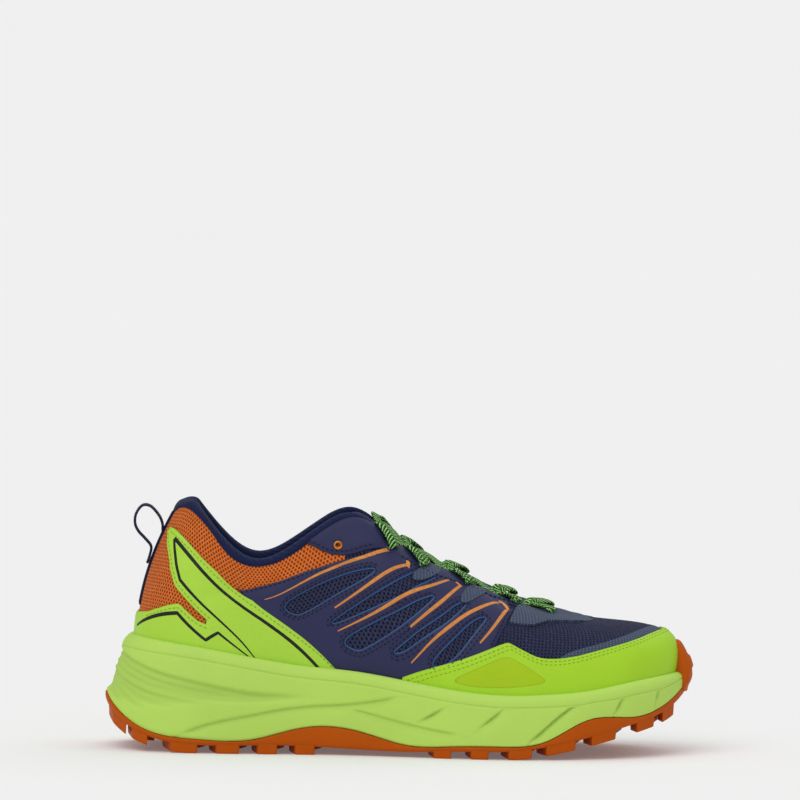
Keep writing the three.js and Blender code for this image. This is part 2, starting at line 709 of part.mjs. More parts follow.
const saddleWindows = [
  [[0.273, 0.433], [0.299, 0.400], [0.321, 0.425], [0.367, 0.512], [0.424, 0.604], [0.453, 0.667],
    [0.424, 0.658], [0.349, 0.584], [0.290, 0.495]],
  [[0.365, 0.362], [0.378, 0.366], [0.495, 0.514], [0.554, 0.629], [0.580, 0.681], [0.495, 0.602],
    [0.391, 0.422]],
  [[0.387, 0.252], [0.415, 0.210], [0.439, 0.245], [0.495, 0.349], [0.565, 0.529], [0.495, 0.437],
    [0.404, 0.298]],
  [[0.479, 0.203], [0.530, 0.286], [0.589, 0.401], [0.628, 0.484], [0.618, 0.509], [0.571, 0.415],
    [0.501, 0.262]],
  [[0.558, 0.146], [0.594, 0.186], [0.631, 0.335], [0.657, 0.423], [0.617, 0.369], [0.571, 0.226]],
];

// Band of shell that the cut panels are taken from
function overlayBand(span, levels) {
  return toSolid(patchGeometry(span, levels, fit, fit + overlayThickness));
}

function cutPanel(band, outline, windows, fromY, toY) {
  const shape = new THREE.Shape(outline.map(onSide));
  shape.holes = windows.map((edge) => new THREE.Path(edge.map(onSide)));
  return band.intersect(toSolid(prismAcross(shape, fromY, toY)));
}

// Eyelets: row on the throat (s) of each lace hole, and of the spare one above
const laceHoles = [0.664, 0.514, 0.329, 0.164, 0.055];
const eyeletLevel = 0.88;

function eyelet(s, side, lift) {
  const u = side < 0 ? throatU(s) : 1 - throatU(s);
  return skin(u, eyeletLevel, fit + overlayThickness + lift);
}

// The spare eyelet stands above the top lace hole, in the corner under the collar
const spareRow = 6.1;
const spareLevel = 0.86;
const ringRadius = 2;

function spareEyelet(side, lift) {
  const u = station(side < 0 ? spareRow : 2 * rows - spareRow);
  return skin(u, spareLevel, lift);
}

function eyeletCutter(s, side) {
  const cutter = new THREE.CylinderGeometry(eyeletRadius, eyeletRadius, 6, 6);
  const inside = eyelet(s, side, -3);
  const outside = eyelet(s, side, 0);
  const turn = new THREE.Quaternion().setFromUnitVectors(point(0, 1, 0), outside.sub(inside).normalize());
  cutter.applyQuaternion(turn);
  const middle = eyelet(s, side, -overlayThickness);
  cutter.translate(middle.x, middle.y, middle.z);
  return toSolid(cutter);
}

function eyestaySolid(side) {
  let stay = overlayBand(rowsOf(side, 5.4, 12.9), [stayLow, 0.86, stayHigh]);
  for (const s of laceHoles) {
    stay = stay.subtract(eyeletCutter(s, side));
  }
  return stay;
}

// Flat lace from one hole to another, over the tongue
function laceGeometry(fromS, fromSide, toS) {
  const steps = 4;
  const half = laceHeight / 2;
  const path = [...Array(steps + 1).keys()].map((i) => {
    const f = mix(fromSide, -fromSide, i / steps);
    const s = mix(fromS, toS, i / steps);
    const end = i === 0 || i === steps;
    const middle = end ? eyelet(s, f, laceLift + half) : throat(s, f, fit + overlayThickness + laceLift + half);
    const over = end ? eyelet(s, f, laceLift + half + 1) : throat(s, f, fit + overlayThickness + laceLift + half + 1);
    return { middle, up: over.sub(middle) };
  });
  const rings = path.map(({ middle, up }, i) => {
    const next = path[Math.min(i + 1, steps)].middle;
    const run = next.clone().sub(path[Math.max(i - 1, 0)].middle).normalize();
    const across = run.cross(up).normalize();
    const corner = (a, b) => middle.clone().addScaledVector(across, a * laceWidth).addScaledVector(up, b * laceHeight);
    return [corner(-0.5, 0.5), corner(0.5, 0.5), corner(0.5, -0.5), corner(-0.5, -0.5)];
  });
  return ringGeometry(rings, 'strip');
}

// Row of laces: a bar at the bottom of the throat, then crossings up to the top holes
function laceSolid() {
  const ribbons = [laceGeometry(laceHoles[0], 1, laceHoles[0])];
  for (let i = 0; i + 1 < laceHoles.length; i += 1) {
    ribbons.push(laceGeometry(laceHoles[i + 1], -1, laceHoles[i]));
    ribbons.push(laceGeometry(laceHoles[i], -1, laceHoles[i + 1]));
  }
  return joined(ribbons);
}

// Heel tape down the back seam, and the pull loop that stands on it
const tapeRow = 0.54;

function heelTapeGeometry() {
  return patchGeometry([-tapeRow, tapeRow], [0.22, ...bandLevels.slice(2), 0.93], fit, fit + overlayThickness);
}

// Middle line of the loop in the side view, from its lower seat to its upper one, as [back, up] from the seam
const loopLine = [[0, 0], [4, 3.6], [7.6, 7], [9.3, 11], [8.6, 16], [5, 20.6], [0.5, 20.5], [-3.2, 15.4]];

function heelLoopGeometry() {
  const seat = skin(0, 0.62, fit + overlayThickness + fit + loopBand / 2);
  const line = loopLine.map(([back, up]) => new THREE.Vector2(seat.x - back, seat.z + up));
  const curve = new THREE.SplineCurve(line);
  const steps = 14;
  const sides = [1, -1].map((side) => [...Array(steps + 1).keys()].map((i) => {
    const run = curve.getTangent(i / steps);
    return curve.getPoint(i / steps).add(new THREE.Vector2(-run.y, run.x).multiplyScalar((side * loopBand) / 2));
  }));
  return prismAcross(new THREE.Shape([...sides[0], ...sides[1].reverse()]), -loopWidth / 2, loopWidth / 2);
}

// Ring set in the spare eyelet near the collar
function eyeletRingGeometry(side) {
  const ring = new THREE.TorusGeometry(ringRadius, ringRadius * 0.35, 4, 10);
  const seat = spareEyelet(side, fit + overlayThickness + fit + ringRadius * 0.35);
  const under = spareEyelet(side, 0);
  const turn = new THREE.Quaternion().setFromUnitVectors(point(0, 0, 1), seat.clone().sub(under).normalize());
  ring.applyQuaternion(turn);
  ring.translate(seat.x, seat.y, seat.z);
  return ring;
}

function addPair(name, make, color, roughness) {
  addPiece(`${name}_lateral`, make(-1), color, roughness);
  addPiece(`${name}_medial`, make(1), color, roughness);
}

const heelBand = overlayBand([-6.5, 6.5], bandLevels);
const toeBand = overlayBand([6.5, 2 * rows - 6.5], bandLevels.slice(0, 4));
const saddleLevels = [...bandLevels.slice(0, 4), stayLow - 0.02];

function saddleSolid(side) {
  const band = overlayBand(rowsOf(side, 3.2, 11.9), saddleLevels);
  return cutPanel(band, saddlePanel, saddleWindows, side < 0 ? -ballWidth : 0, side < 0 ? 0 : ballWidth);
}

addPiece('upper', upperGeometry(), '#1d1f3a', 0.9);
addPiece('midsole', toGeometry(midsoleSolid()), '#a8d858', 0.75);
addPiece('outsole', toGeometry(joined([trayGeometry(), ...lugGeometries(), bumperGeometry()])), '#c24e0c', 0.7);
addPiece('insole', insoleGeometry(), '#20223a', 0.95);
addPiece('tongue', tongueGeometry(), '#1f2350', 0.9);
addPiece('heel_overlay', toGeometry(cutPanel(heelBand, heelPanel, [], -ballWidth, ballWidth)), '#a6d94a', 0.6);
addPiece('toe_rand', toGeometry(cutPanel(toeBand, toePanel, [], -ballWidth, ballWidth)), '#9fd43a', 0.5);
addPair('quarter_overlay', (side) => toGeometry(saddleSolid(side)), '#2e2f55', 0.55);
addPair('eyestay', (side) => toGeometry(eyestaySolid(side)), '#2b2c50', 0.6);
addPair('eyelet_ring', eyeletRingGeometry, '#c07830', 0.4);
addPiece('laces', toGeometry(laceSolid()), '#1c2a1e', 0.85);
addPiece('heel_tape', heelTapeGeometry(), '#20244e', 0.8);
addPiece('heel_loop', heelLoopGeometry(), '#20244e', 0.8);

const middle = new THREE.Box3().setFromObject(shoe).getCenter(point(0, 0, 0));
shoe.position.set(-middle.x, -middle.y, 0);

export default shoe;
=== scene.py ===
"""Trail running shoe, right foot: the finish and fine surface of every piece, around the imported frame.

The last is one rib surface, worked out in millimetres from the heel, and its pieces become metres
in the frame when a mesh is made. u runs once round the shoe: heel 0, outer side, toe 0.5, inner side.
q runs up a rib: 0 at the midsole's rim and 1 at the top line.
"""
import json
import math

import bmesh
import bpy
import numpy as np
from mathutils import Matrix, Vector, geometry

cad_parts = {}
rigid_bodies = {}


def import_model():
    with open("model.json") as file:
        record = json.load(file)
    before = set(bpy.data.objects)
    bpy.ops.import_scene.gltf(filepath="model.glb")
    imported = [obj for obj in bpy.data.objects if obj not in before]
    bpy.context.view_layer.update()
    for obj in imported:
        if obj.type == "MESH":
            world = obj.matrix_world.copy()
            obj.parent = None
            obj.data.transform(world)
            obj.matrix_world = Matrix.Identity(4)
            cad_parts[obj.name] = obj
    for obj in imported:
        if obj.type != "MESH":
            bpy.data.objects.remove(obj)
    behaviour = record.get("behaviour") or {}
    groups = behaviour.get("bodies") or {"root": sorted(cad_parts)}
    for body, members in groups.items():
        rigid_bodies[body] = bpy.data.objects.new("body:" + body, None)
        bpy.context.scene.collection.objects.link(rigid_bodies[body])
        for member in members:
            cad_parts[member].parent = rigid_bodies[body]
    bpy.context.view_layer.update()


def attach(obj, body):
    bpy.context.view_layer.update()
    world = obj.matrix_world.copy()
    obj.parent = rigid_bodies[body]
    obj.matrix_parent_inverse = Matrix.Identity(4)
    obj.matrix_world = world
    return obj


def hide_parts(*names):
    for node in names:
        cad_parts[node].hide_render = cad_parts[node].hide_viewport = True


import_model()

bl_info = {
    "name": "Trail running shoe",
    "version": (1, 0, 0),
    "blender": (4, 5, 0),
    "location": "3D View > Sidebar > Trail shoe",
    "description": "Builds a trail running shoe around its packed frame",
    "category": "Add Mesh",
}

# Driving sizes of the last and the sole, in millimetres
UPPER_LENGTH = 272.5
BALL_WIDTH = 96.0
COLLAR_WIDTH = 57.0
COLLAR_RISE = 93.0
TOE_TURN = 6.0
HEEL_INSET = 17.0
HEEL_STACK = 34.0
FORE_STACK = 21.0
TOE_SPRING = 16.0
HEEL_CUP = 23.4
SOLE_SPREAD = 8.0
RIM_SPREAD = 6.0
OUTSOLE_SKIN = 2.0
OUTSOLE_WRAP = 2.0
LUG_DEPTH = 4.4
BUMPER_RISE = 20.5
BUMPER_REACH = 0.46
WALL = 2.4
COLLAR_PAD = 6.0
INSOLE_THICKNESS = 5.0
TONGUE_THICKNESS = 3.2
TONGUE_PAD = 7.0
TONGUE_GAP = 1.1
TONGUE_OVERHANG = 7.0
TONGUE_CORE = 30.0
FIT = 0.3
OVERLAY = 1.0
ROWS = 14

# Middle of the shoe's plan, measured from the heel and the middle line
PLAN_CENTRE = np.array([150.40, 0.87, 0.0])

# One value for each station from heel to toe, as shares of the sizes above
LAST = {
    "along": (0, .011, .051, .121, .213, .308, .407, .506, .598, .683, .760, .837, .914, .974, 1),
    "lateral": (0, .146, .266, .318, .328, .339, .370, .417, .469, .495, .484, .432, .323, .146, -.0625),
    "medial": (0, .146, .266, .318, .323, .328, .339, .380, .443, .495, .516, .495, .417, .260, .0625),
    "top_along": (.072, .079, .103, .152, .217, .286, .352, .413, .484, .558, .631, .697, .747, .770, .776),
    "top_half": (0, .193, .351, .465, .500, .474, .412, .342, .307, .289, .272, .246, .184, .096, 0),
    "top_turn": (0, 0, 0, 0, 0, 0, 0, 0, .08, .17, .25, .33, .38, .42, .42),
    "top_rise": (.965, .967, .948, .795, .668, .745, .880, .922, .770, .645, .538, .450, .405, .388, .383),
}
RIBS = {
    "rise": (.335, .335, .340, .340, .340, .360, .380, .400, .420, .450, .500, .600, .750, .950, 1.1),
    "bulge": (.039, .039, .037, .037, .042, .042, .042, .042, .042, .042, .042, .042, .057, .083, .099),
    "back": (.87, .87, .85, .90, 1.0, .95, .85, .75, .64, .57, .53, .52, .56, .62, .65),
    "drop": (.33, .33, .33, .33, .33, .33, .30, .28, .22, .14, .09, .06, .08, .13, .16),
}
SOLE = {
    "heel_part": (1, 1, 1, .985, .92, .77, .54, .27, .08, 0, 0, 0, 0, 0, 0),
    "spring_part": (0, 0, 0, 0, 0, 0, 0, 0, 0, 0, 0, .12, .41, .81, 1),
    "cup": (1, 1, .94, .83, .68, .60, .63, .60, .53, .49, .51, .50, .47, .31, .21),
    "base": (.70, .49, .215, .120, .126, .126, .095, .078, .105, .118, .190, .335, .515, .710, .920),
    "split": (.825, .62, .30, .206, .206, .39, .38, .178, .178, .19, .275, .605, .62, .83, 1.05),
    "flare": (2, 1.94, 1.7, 1.44, 1.31, 1.05, .9, .94, 1, 1, .96, .96, .92, .84, .8),
    "rim": (.95, .95, 1, 1.08, 1.16, 1.16, 1.16, 1.08, 1, 1, 1, 1, .96, .92, .88),
}

# How the photograph sees the shoe: millimetres in a pixel on the plane of its outer side, the tilt and
# the roll in degrees, and a pixel that shows a known place on the floor
PHOTO_SIDE = 800
PHOTO_SCALE = 0.507
PHOTO_TILT = math.radians(4.0)
PHOTO_ROLL = math.radians(0.81)
PHOTO_MARK = (399.0, 755.75)
MARK_ALONG = 150.5
MARK_OUT = 38.0
CAMERA_DISTANCE = 8000.0
SENSOR_WIDTH = 36.0

# Light: the glow of the paper floor, the sky, and wide suns as (name, where from, strength, spread)
FLOOR_GLOW = 0.12
SKY_STRENGTH = 0.42
SUNS = (("key", (-0.5, -0.9, 1.3), 1.25, 50.0), ("back", (0.5, 0.5, 1.2), 0.75, 70.0))


def closed_curve(values):
    """Smooth closed curve through evenly spaced values, over u from 0 to 1."""
    values = np.asarray(values, float)
    count = len(values)
    knots = values.copy()
    for _ in range(40):
        knots = (6 * values - np.roll(knots, 1) - np.roll(knots, -1)) / 4

    def curve(u):
        place = (np.asarray(u, float) % 1.0) * count
        i = np.floor(place).astype(int)
        f = place - i
        weights = ((1 - f) ** 3, 3 * f**3 - 6 * f * f + 4, -3 * f**3 + 3 * f * f + 3 * f + 1, f**3)
        return sum(w * knots[(i + k - 1) % count] for k, w in enumerate(weights)) / 6

    return curve


def column(values, medial=None, sign=1.0):
    """A table column as a curve round the shoe: heel, outer side, toe, inner side."""
    inner = (medial or values)[1:ROWS][::-1]
    return closed_curve([sign * v for v in values] + list(inner))


along = column(LAST["along"])
sideways = column(LAST["lateral"], LAST["medial"], -1.0)
top_along = column(LAST["top_along"])
top_sideways = column(LAST["top_half"], None, -1.0)
top_turn = column(LAST["top_turn"])
top_rise = column(LAST["top_rise"])
rib_rise, rib_bulge, rib_back, rib_drop = (column(RIBS[name]) for name in ("rise", "bulge", "back", "drop"))
heel_part, spring_part, cup = (column(SOLE[name]) for name in ("heel_part", "spring_part", "cup"))
base_share, split_share, flare, rim = (column(SOLE[name]) for name in ("base", "split", "flare", "rim"))


def lerp(a, b, t):
    return a + (b - a) * t


def smoothstep(x, low, high):
    t = np.clip((np.asarray(x, float) - low) / (high - low), 0, 1)
    return t * t * (3 - 2 * t)


def xyz(x, y, z):
    return np.stack(np.broadcast_arrays(x, y, z), axis=-1)


def unit(vectors):
    length = np.linalg.norm(vectors, axis=-1, keepdims=True)
    return vectors / np.maximum(length, 1e-12)


def station(row):
    return row / (2 * ROWS)


def foot_edge(u):
    seat = FORE_STACK + (HEEL_STACK - FORE_STACK) * heel_part(u) + TOE_SPRING * spring_part(u)
    return xyz(HEEL_INSET + UPPER_LENGTH * along(u), BALL_WIDTH * sideways(u), seat)


def top_line(u):
    y = COLLAR_WIDTH * top_sideways(u) + TOE_TURN * top_turn(u)
    return xyz(HEEL_INSET + UPPER_LENGTH * top_along(u), y, HEEL_STACK + COLLAR_RISE * top_rise(u))


def outward(u):
    run = foot_edge(u + 0.002) - foot_edge(u - 0.002)
    return unit(xyz(run[..., 1], -run[..., 0], 0.0))


def rib(u, v):
    """The last's surface: v from 0 at the foot edge to 1 at the top line."""
    u, v = np.broadcast_arrays(np.asarray(u, float), np.asarray(v, float))
    foot = foot_edge(u)
    top = top_line(u)
    height = top[..., 2] - foot[..., 2]
    low = foot + outward(u) * (BALL_WIDTH * rib_bulge(u))[..., None]
    low[..., 2] += rib_rise(u) * height
    high = lerp(top, foot, rib_back(u)[..., None])
    high[..., 2] = top[..., 2] - rib_drop(u) * height
    v = v[..., None]
    w = 1 - v
    return foot * w**3 + low * 3 * w * w * v + high * 3 * w * v * v + top * v**3


def rib_normal(u, v):
    step = 0.002
    along_shoe = rib(u + step, v) - rib(u - step, v)
    up_rib = rib(u, np.minimum(v + step, 1)) - rib(u, np.maximum(v - step, 0))
    return unit(np.cross(along_shoe, up_rib))


def rim_height(u):
    return foot_edge(u)[..., 2] + HEEL_CUP * cup(u)


def rim_table(samples=1120):
    """v where each rib passes the midsole's rim, by halving."""
    u = np.arange(samples) / samples
    low = np.zeros(samples)
    high = np.full(samples, 0.7)
    goal = rim_height(u)
    for _ in range(30):
        middle = (low + high) / 2
        under = rib(u, middle)[..., 2] < goal
        low = np.where(under, middle, low)
        high = np.where(under, high, middle)
    return np.append(low, low[0])


RIM_V = rim_table()


def level(u, q):
    place = (np.asarray(u, float) % 1.0) * (len(RIM_V) - 1)
    rim_v = np.interp(place, np.arange(len(RIM_V)), RIM_V)
    return np.where(q < 0, rim_v * (1 + q), lerp(rim_v, 1, q))


# Soft creases of the cloth and the panels: a line on the side as [row, level] points, its
# depth in millimetres (a ridge where it is negative) and its half width
CREASES = (
    (((9.6, 0.30), (9.9, 0.62), (9.8, 0.95)), 0.55, 3.2),
    (((10.4, 0.42), (10.8, 0.7), (11.0, 0.98)), -0.4, 3.0),
    (((11.4, 0.5), (12.0, 0.74), (12.9, 0.92)), 0.45, 3.0),
    (((3.0, 0.45), (3.6, 0.66), (4.6, 0.80)), 0.7, 3.6),
    (((1.2, 0.35), (2.0, 0.56), (3.1, 0.70)), -0.45, 3.4),
    (((5.2, 0.52), (6.0, 0.70), (7.3, 0.78)), 0.45, 3.2),
    (((0.6, 0.62), (1.4, 0.78), (2.2, 0.90)), 0.5, 3.2),
)
CHART_ROUND = 680.0
CHART_RISE = 66.0


def chart(u, q):
    """Places on the last's surface, unrolled to millimetres."""
    return np.stack(np.broadcast_arrays(np.asarray(u) * CHART_ROUND, np.asarray(q) * CHART_RISE), axis=-1)


def segment_distance(points, starts, ends, signed=False):
    """Least distance from each point to a set of segments in the plane, and the side that it lies on."""
    best = np.full(len(points), np.inf)
    side = np.ones(len(points))
    for a, b in zip(starts, ends):
        run = b - a
        gap = points - a
        share = np.clip((gap @ run) / max(run @ run, 1e-12), 0, 1)
        away = np.linalg.norm(gap - share[:, None] * run, axis=1)
        if signed:
            side = np.where(away < best, np.sign(run[0] * gap[:, 1] - run[1] * gap[:, 0]), side)
        best = np.minimum(best, away)
    return best * side if signed else best


def relief(u, q):
    """How far the creases move the cloth, in millimetres."""
    u, q = np.broadcast_arrays(np.asarray(u, float), np.asarray(q, float))
    side = np.minimum(u % 1.0, 1 - u % 1.0)
    flat = chart(side, q).reshape(-1, 2)
    moved = np.zeros(len(flat))
    for path, depth, width in CREASES:
        line = chart(*np.array([(station(row), rise) for row, rise in path]).T)
        moved -= depth * np.exp(-((segment_distance(flat, line[:-1], line[1:]) / width) ** 2))
    return moved.reshape(u.shape) * smoothstep(q, 0.02, 0.2)


def skin(u, q, offset=0.0):
    """Place on the shoe's outer surface, and the offset out from it."""
    v = level(u, q)
    out = np.asarray(offset, float) + relief(u, q)
    return rib(u, v) + rib_normal(u, v) * out[..., None]


def collar_share(u):
    row = np.abs((np.asarray(u, float) * 2 * ROWS + ROWS) % (2 * ROWS) - ROWS)
    return np.clip(7 - row, 0, 1)


def wall_at(u, q):
    swell = smoothstep(q, 0.35, 0.8) * lerp(1, 0.75, smoothstep(q, 0.85, 1))
    return WALL + COLLAR_PAD * collar_share(u) * swell


CAMERA_AHEAD = np.array([0.0, math.cos(PHOTO_TILT), -math.sin(PHOTO_TILT)])
LEVEL_UP = np.array([0.0, math.sin(PHOTO_TILT), math.cos(PHOTO_TILT)])
CAMERA_RIGHT = np.array([1.0, 0, 0]) * math.cos(PHOTO_ROLL) + LEVEL_UP * math.sin(PHOTO_ROLL)
CAMERA_UP = LEVEL_UP * math.cos(PHOTO_ROLL) - np.array([1.0, 0, 0]) * math.sin(PHOTO_ROLL)
MARK_PLACE = np.array([MARK_ALONG, -MARK_OUT, 0.0])
MIDDLE_GAP = PHOTO_SCALE * (np.array([PHOTO_SIDE / 2] * 2) - PHOTO_MARK)
CAMERA_PLACE = (MARK_PLACE + CAMERA_RIGHT * MIDDLE_GAP[0] - CAMERA_UP * MIDDLE_GAP[1]
                - CAMERA_AHEAD * CAMERA_DISTANCE)


def photo_pixels(points):
    """Pixels of the photograph that show places on the shoe."""
    gap = points - CAMERA_PLACE
    scale = CAMERA_DISTANCE / PHOTO_SCALE / (gap @ CAMERA_AHEAD)
    x = PHOTO_SIDE / 2 + (gap @ CAMERA_RIGHT) * scale
    y = PHOTO_SIDE / 2 - (gap @ CAMERA_UP) * scale
    return np.stack([x, y], axis=-1)


SIDE_U, SIDE_Q = np.meshgrid(np.linspace(0.004, 0.496, 260), np.linspace(-0.1, 1, 70), indexing="ij")
SIDE_PIXELS = photo_pixels(skin(SIDE_U, SIDE_Q)).reshape(-1, 2)


def seen(pixels):
    """(u, q) on the outer side where the photograph shows each pixel."""
    pixels = np.asarray(pixels, float)
    nearest = [int(np.argmin(((SIDE_PIXELS - p) ** 2).sum(1))) for p in pixels]
    u = SIDE_U.ravel()[nearest]
    q = SIDE_Q.ravel()[nearest]
    for _ in range(6):
        here = photo_pixels(skin(u, q))
        du = (photo_pixels(skin(u + 1e-4, q)) - here) / 1e-4
        dq = (photo_pixels(skin(u, q + 1e-3)) - here) / 1e-3
        gap = pixels - here
        det = du[:, 0] * dq[:, 1] - du[:, 1] * dq[:, 0]
        det = np.where(np.abs(det) < 400, 400 * np.sign(det + 1e-9), det)
        step_u = (gap[:, 0] * dq[:, 1] - gap[:, 1] * dq[:, 0]) / det
        step_q = (du[:, 0] * gap[:, 1] - du[:, 1] * gap[:, 0]) / det
        u = np.clip(u + np.clip(step_u, -0.01, 0.01), 0.001, 0.499)
        q = np.clip(q + np.clip(step_q, -0.05, 0.05), -0.2, 1)
    return np.stack([u, q], axis=-1)


# Outlines and paths in the plane of the chart

def softened(points, closed=True, passes=2):
    """Rounds an outline's corners. A point written twice stays sharp."""
    points = np.asarray(points, float)
    for _ in range(passes):
        nxt = np.roll(points, -1, axis=0) if closed else points[1:]
        here = points if closed else points[:-1]
        cut = np.empty((2 * len(here), 2))
        cut[0::2] = 0.75 * here + 0.25 * nxt
        cut[1::2] = 0.25 * here + 0.75 * nxt
        points = cut if closed else np.vstack([points[:1], cut, points[-1:]])
    return points


def stepped(points, step, closed=True):
    """The same outline with no edge longer than the step, and no doubled points."""
    points = np.asarray(points, float)
    ends = np.roll(points, -1, axis=0) if closed else points[1:]
    out = []
    for a, b in zip(points, ends):
        length = np.linalg.norm(b - a)
        if length < 0.05:
            continue
        count = max(1, math.ceil(length / step))
        out.extend(a + (b - a) * k / count for k in range(count))
    if not closed:
        out.append(points[-1])
    return np.array(out)


def inside(points, loops):
    """Even-odd test against closed outlines."""
    odd = np.zeros(len(points), bool)
    x, y = points[:, 0], points[:, 1]
    for loop in loops:
        for (ax, ay), (bx, by) in zip(loop, np.roll(loop, -1, axis=0)):
            if ay == by:
                continue
            crosses = (ay > y) != (by > y)
            odd ^= crosses & (x < (bx - ax) * (y - ay) / (by - ay) + ax)
    return odd


def loop_distance(points, loops):
    return np.min([segment_distance(points, loop, np.roll(loop, -1, axis=0)) for loop in loops], axis=0)


def side_step(path, distance):
    """A path moved sideways by a distance, to its left."""
    path = np.asarray(path, float)
    run = np.gradient(path, axis=0)
    run /= np.maximum(np.linalg.norm(run, axis=1, keepdims=True), 1e-9)
    return path + np.stack([-run[:, 1], run[:, 0]], axis=1) * np.asarray(distance).reshape(-1, 1)


def running_length(path):
    """Length from a path's start to each of its points."""
    return np.concatenate([[0], np.cumsum(np.linalg.norm(np.diff(path, axis=0), axis=1))])


def ribbon(path, widths):
    """Outline of a stripe round a path, with a width at each end of it."""
    path = stepped(softened(path, closed=False), 1.2, closed=False)
    half = np.interp(np.linspace(0, 1, len(path)), np.linspace(0, 1, len(widths)), widths) / 2
    return np.vstack([side_step(path, half), side_step(path, -half)[::-1]])


# Meshes

def face_outwards(mesh):
    work = bmesh.new()
    work.from_mesh(mesh)
    bmesh.ops.recalc_face_normals(work, faces=work.faces)
    work.to_mesh(mesh)
    work.free()


def make_mesh(name, points, faces, materials, face_material=None, sharp=None):
    """Mesh object from places in millimetres, with its faces turned outwards."""
    mesh = bpy.data.meshes.new(name)
    mesh.from_pydata(((np.asarray(points) - PLAN_CENTRE) * 0.001).tolist(), [], faces)
    for material in materials:
        mesh.materials.append(material)
    if face_material is not None:
        mesh.polygons.foreach_set("material_index", np.asarray(face_material, np.int32))
    face_outwards(mesh)
    mesh.shade_smooth()
    if sharp is not None:
        mesh.set_sharp_from_angle(angle=math.radians(sharp))
    piece = bpy.data.objects.new(name, mesh)
    bpy.context.scene.collection.objects.link(piece)
    return piece


def add_attribute(piece, name, values):
    layer = piece.data.attributes.new(name, "FLOAT", "POINT")
    layer.data.foreach_set("value", np.asarray(values, np.float32).ravel())


def add_uv(piece, places):
    """UV map in metres from a place for each vertex."""
    mesh = piece.data
    layer = mesh.uv_layers.new(name="surface")
    corner = np.empty(len(mesh.loops), np.int32)
    mesh.loops.foreach_get("vertex_index", corner)
    uv = (np.asarray(places, np.float32) * 0.001)[corner]
    layer.data.foreach_set("uv", uv.ravel())


def ring_faces(rings, count, closed_rings=False, closed_ends=False):
    """Quads of a grid of rings, with each ring closed."""
    faces = []
    turns = rings if closed_rings else rings - 1
    for r in range(turns):
        here, there = r * count, ((r + 1) % rings) * count
        for c in range(count):
            d = (c + 1) % count
            faces.append((here + c, here + d, there + d, there + c))
    if closed_ends:
        for start in (0, (rings - 1) * count):
            for c in range(count // 2):
                far, near = (count - c) % count, count - c - 1
                corners = [start + c, start + c + 1, start + near, start + far]
                face = list(dict.fromkeys(corners))
                if len(face) > 2:
                    faces.append(tuple(face))
    return faces


def seat(piece, slot, *nodes):
    """Rides on the one body, with the nodes that it stands for hidden. The record slot is not used."""
    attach(piece, "root")
    if nodes:
        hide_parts(*nodes)


def panel(name, outline, holes=(), lift=0.0, thickness=0.8, edge=0.9, grid=1.5, material=None,
          sharp=50, sink=-0.3):
    """Film or panel cut to an outline on the chart and laid on the surface, with soft edges."""
    loops = [stepped(outline, 1.1)] + [stepped(hole, 1.1) for hole in holes]
    rim_points = np.vstack(loops)
    low, high = rim_points.min(0), rim_points.max(0)
    xs = np.arange(low[0], high[0], grid)
    ys = np.arange(low[1], high[1], grid * 0.866)
    gx, gy = np.meshgrid(xs, ys, indexing="ij")
    gx = gx + (np.arange(len(ys)) % 2) * grid / 2
    field = np.stack([gx.ravel(), gy.ravel()], axis=1)
    field = field[inside(field, loops)]
    if len(field):
        field = field[loop_distance(field, loops) > 0.55 * grid]
    flat = np.vstack([rim_points, field]) if len(field) else rim_points
    links = []
    start = 0
    for loop in loops:
        links += [(start + i, start + (i + 1) % len(loop)) for i in range(len(loop))]
        start += len(loop)
    verts, _, tris, _, _, _ = geometry.delaunay_2d_cdt([Vector(p) for p in flat], links, [], 0, 1e-5)
    flat = np.array([(v.x, v.y) for v in verts])
    tris = np.array(tris)
    tris = tris[inside(flat[tris].mean(1), loops)]
    used, packed = np.unique(tris, return_inverse=True)
    tris = packed.reshape(tris.shape)
    flat = flat[used]
    away = loop_distance(flat, loops)
    share = np.clip(away / edge, 0, 1)
    lift = lift(flat) if callable(lift) else lift
    top = skin(flat[:, 0] / CHART_ROUND, flat[:, 1] / CHART_RISE,
               lift + thickness * (0.35 + 0.65 * np.sqrt(1 - (1 - share) ** 2)))
    under = skin(flat[:, 0] / CHART_ROUND, flat[:, 1] / CHART_RISE, sink)
    count = len(flat)
    sides = {}
    for a, b, c in tris:
        for pair in ((a, b), (b, c), (c, a)):
            sides[pair] = sides.get(pair, 0) + 1
    wall = [(b, a, a + count, b + count) for a, b in sides if (b, a) not in sides]
    faces = [tuple(t) for t in tris.tolist()]
    faces += [(a + count, c + count, b + count) for a, b, c in tris.tolist()]
    faces += [tuple(int(i) for i in quad) for quad in wall]
    piece = make_mesh(name, np.vstack([top, under]), faces, [material], sharp=sharp)
    add_attribute(piece, "edge", np.tile(away, 2))
    inner = loop_distance(flat, loops[1:]) if holes else np.full(count, 99.0)
    add_attribute(piece, "window", np.tile(inner, 2))
    add_uv(piece, np.tile(flat, (2, 1)))
    return piece


def merged(name, pieces):
    """One object from several."""
    with bpy.context.temp_override(active_object=pieces[0], selected_editable_objects=pieces):
        bpy.ops.object.join()
    pieces[0].name = name
    return pieces[0]


# Materials

